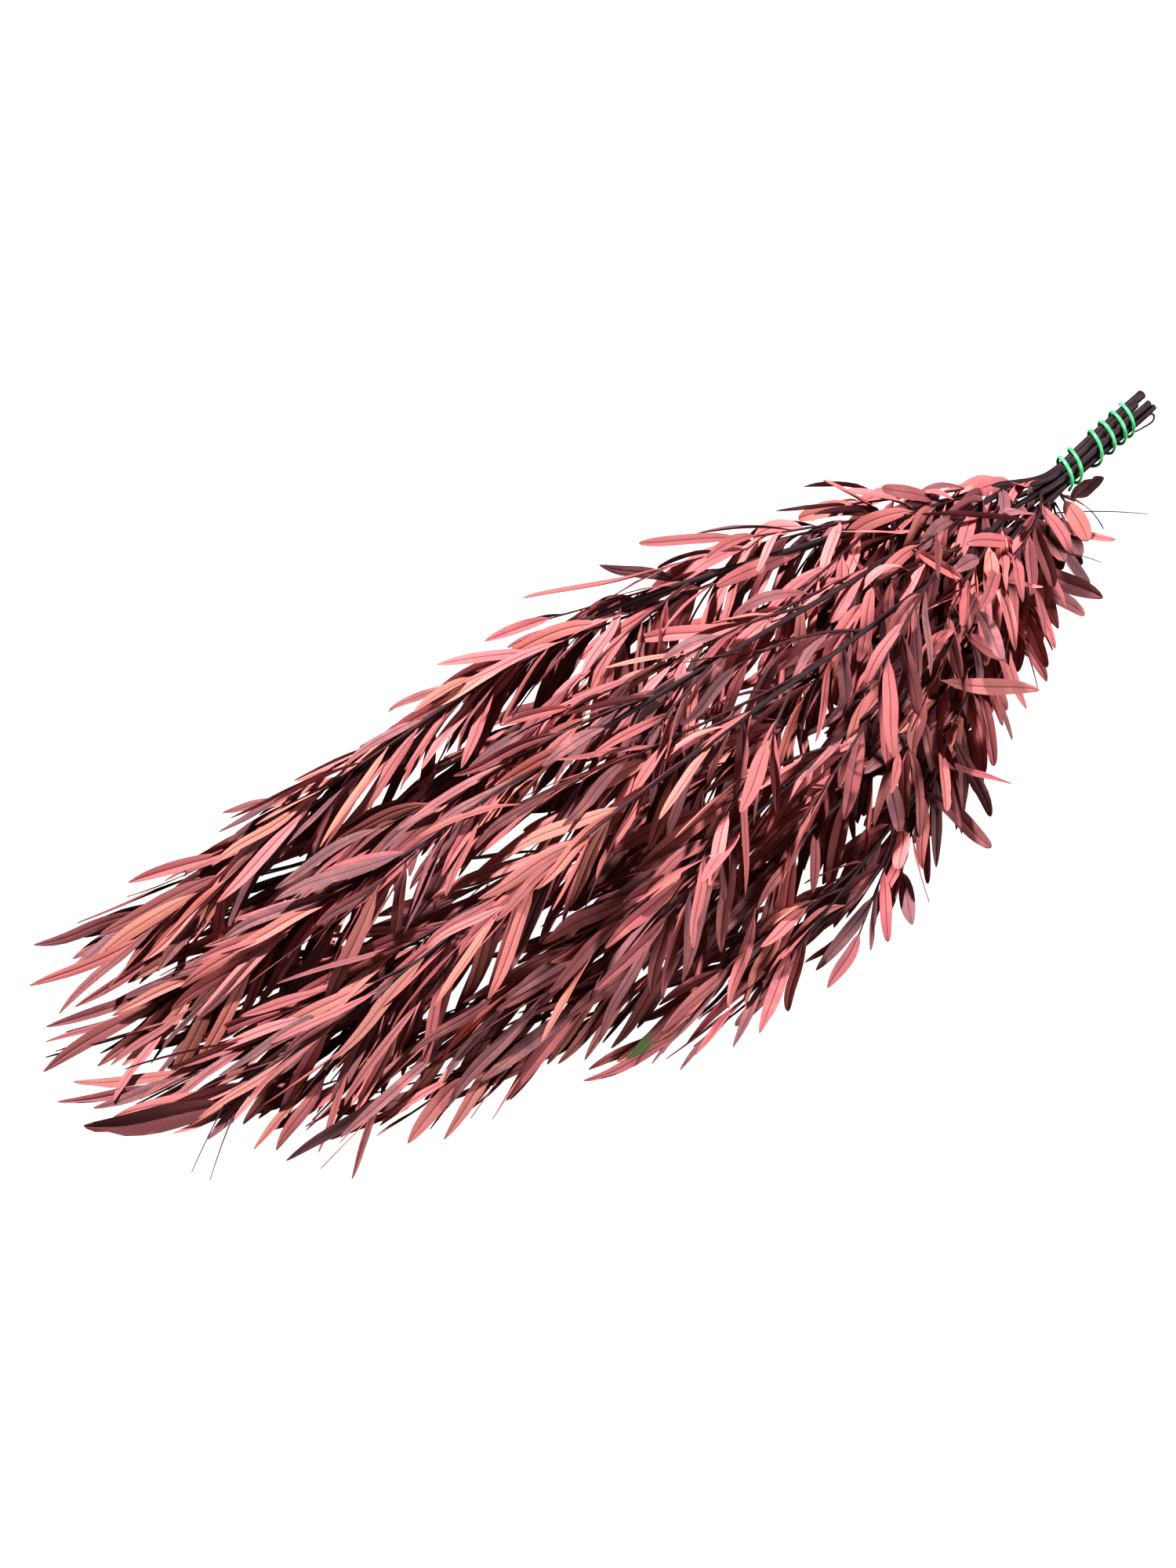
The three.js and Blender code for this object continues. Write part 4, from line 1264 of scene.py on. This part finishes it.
class EUCALYPTUS_OT_elastic(bpy.types.Operator):
    """Wind the green elastic round the handle"""

    bl_idname = "eucalyptus.elastic"
    bl_label = "Elastic"

    def execute(self, context):
        material = elastic_material(settings_of(context))
        dress(elastic_body(), "elastic", material, "elastic_tie")
        return {"FINISHED"}


def add_floor(settings):
    """A white floor that glows, so that it stays white without lighting the bunch from below."""
    bpy.ops.mesh.primitive_plane_add(size=FLOOR_SIZE, location=(0, 0, 0))
    floor = bpy.context.object
    floor.name = "floor"
    floor.data.materials.append(Shading("floor").finished(
        Base_Color=(*settings.floor_colour, 1), Roughness=0.9,
        Emission_Color=(1, 1, 1, 1), Emission_Strength=settings.floor_glow))
    floor.visible_diffuse = False
    floor.visible_glossy = False
    floor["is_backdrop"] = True


def add_lamp(name, size, power, place):
    """A round lamp at a place as seen from the bunch's middle, and turned towards it."""
    lamp = bpy.data.lights.new(name, "AREA")
    lamp.shape = "DISK"
    lamp.size = size
    lamp.energy = power
    obj = bpy.data.objects.new(name, lamp)
    obj.location = TARGET + place
    obj.rotation_euler = (-place).to_track_quat("-Z", "Y").to_euler()
    bpy.context.scene.collection.objects.link(obj)


def add_camera():
    azimuth = math.radians(VIEW_AZIMUTH)
    height = math.radians(VIEW_HEIGHT)
    right = Vector((math.cos(azimuth), math.sin(azimuth), 0))
    level = Vector((math.sin(azimuth), -math.cos(azimuth), 0))
    back = level * math.cos(height) + UP * math.sin(height)
    data = bpy.data.cameras.new("camera")
    data.sensor_width = SENSOR
    data.lens = SENSOR * FOCAL_PIXELS / IMAGE_HEIGHT
    data.shift_x, data.shift_y = FRAMING
    camera = bpy.data.objects.new("camera", data)
    axes = Matrix((right, back.cross(right), back)).transposed().to_4x4()
    camera.matrix_world = Matrix.Translation(TARGET + back * VIEW_DISTANCE) @ axes
    bpy.context.scene.collection.objects.link(camera)
    bpy.context.scene.camera = camera


class EUCALYPTUS_OT_stage(bpy.types.Operator):
    """Set up the floor, the lights and the camera"""

    bl_idname = "eucalyptus.stage"
    bl_label = "Floor, lights and camera"

    def execute(self, context):
        settings = settings_of(context)
        add_floor(settings)
        world = bpy.data.worlds.new("studio")
        world.use_nodes = True
        background = world.node_tree.nodes["Background"]
        background.inputs["Color"].default_value = (1, 1, 1, 1)
        background.inputs["Strength"].default_value = settings.sky_strength
        context.scene.world = world
        add_lamp("key", KEY_SIZE, settings.key_power, KEY_PLACE)
        add_lamp("fill", FILL_SIZE, settings.fill_power, FILL_PLACE)
        add_camera()
        context.scene.view_settings.view_transform = "Standard"
        context.scene.view_settings.look = "Medium High Contrast"
        return {"FINISHED"}


OPERATORS = (EUCALYPTUS_OT_leaves, EUCALYPTUS_OT_wood, EUCALYPTUS_OT_elastic, EUCALYPTUS_OT_stage)


class EUCALYPTUS_PT_panel(bpy.types.Panel):
    """Builds the bunch piece by piece"""

    bl_idname = "EUCALYPTUS_PT_panel"
    bl_label = "Eucalyptus bunch"
    bl_space_type = "VIEW_3D"
    bl_region_type = "UI"
    bl_category = "Eucalyptus"

    def draw(self, context):
        for name in EucalyptusSettings.__annotations__:
            self.layout.prop(settings_of(context), name)
        for operator in OPERATORS:
            self.layout.operator(operator.bl_idname)


CLASSES = (EucalyptusSettings, *OPERATORS, EUCALYPTUS_PT_panel)


def register():
    for cls in CLASSES:
        bpy.utils.register_class(cls)
    bpy.types.Scene.eucalyptus = bpy.props.PointerProperty(type=EucalyptusSettings)


def unregister():
    del bpy.types.Scene.eucalyptus
    for cls in reversed(CLASSES):
        bpy.utils.unregister_class(cls)


def main():
    register()
    bpy.ops.eucalyptus.leaves()
    bpy.ops.eucalyptus.wood()
    bpy.ops.eucalyptus.elastic()
    bpy.ops.eucalyptus.stage()
    boxes = {"cad": CAD_BOX, "visual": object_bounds()}
    {name: [list(corner) for corner in box] for name, box in boxes.items()}


if __name__ == "__main__":
    main()
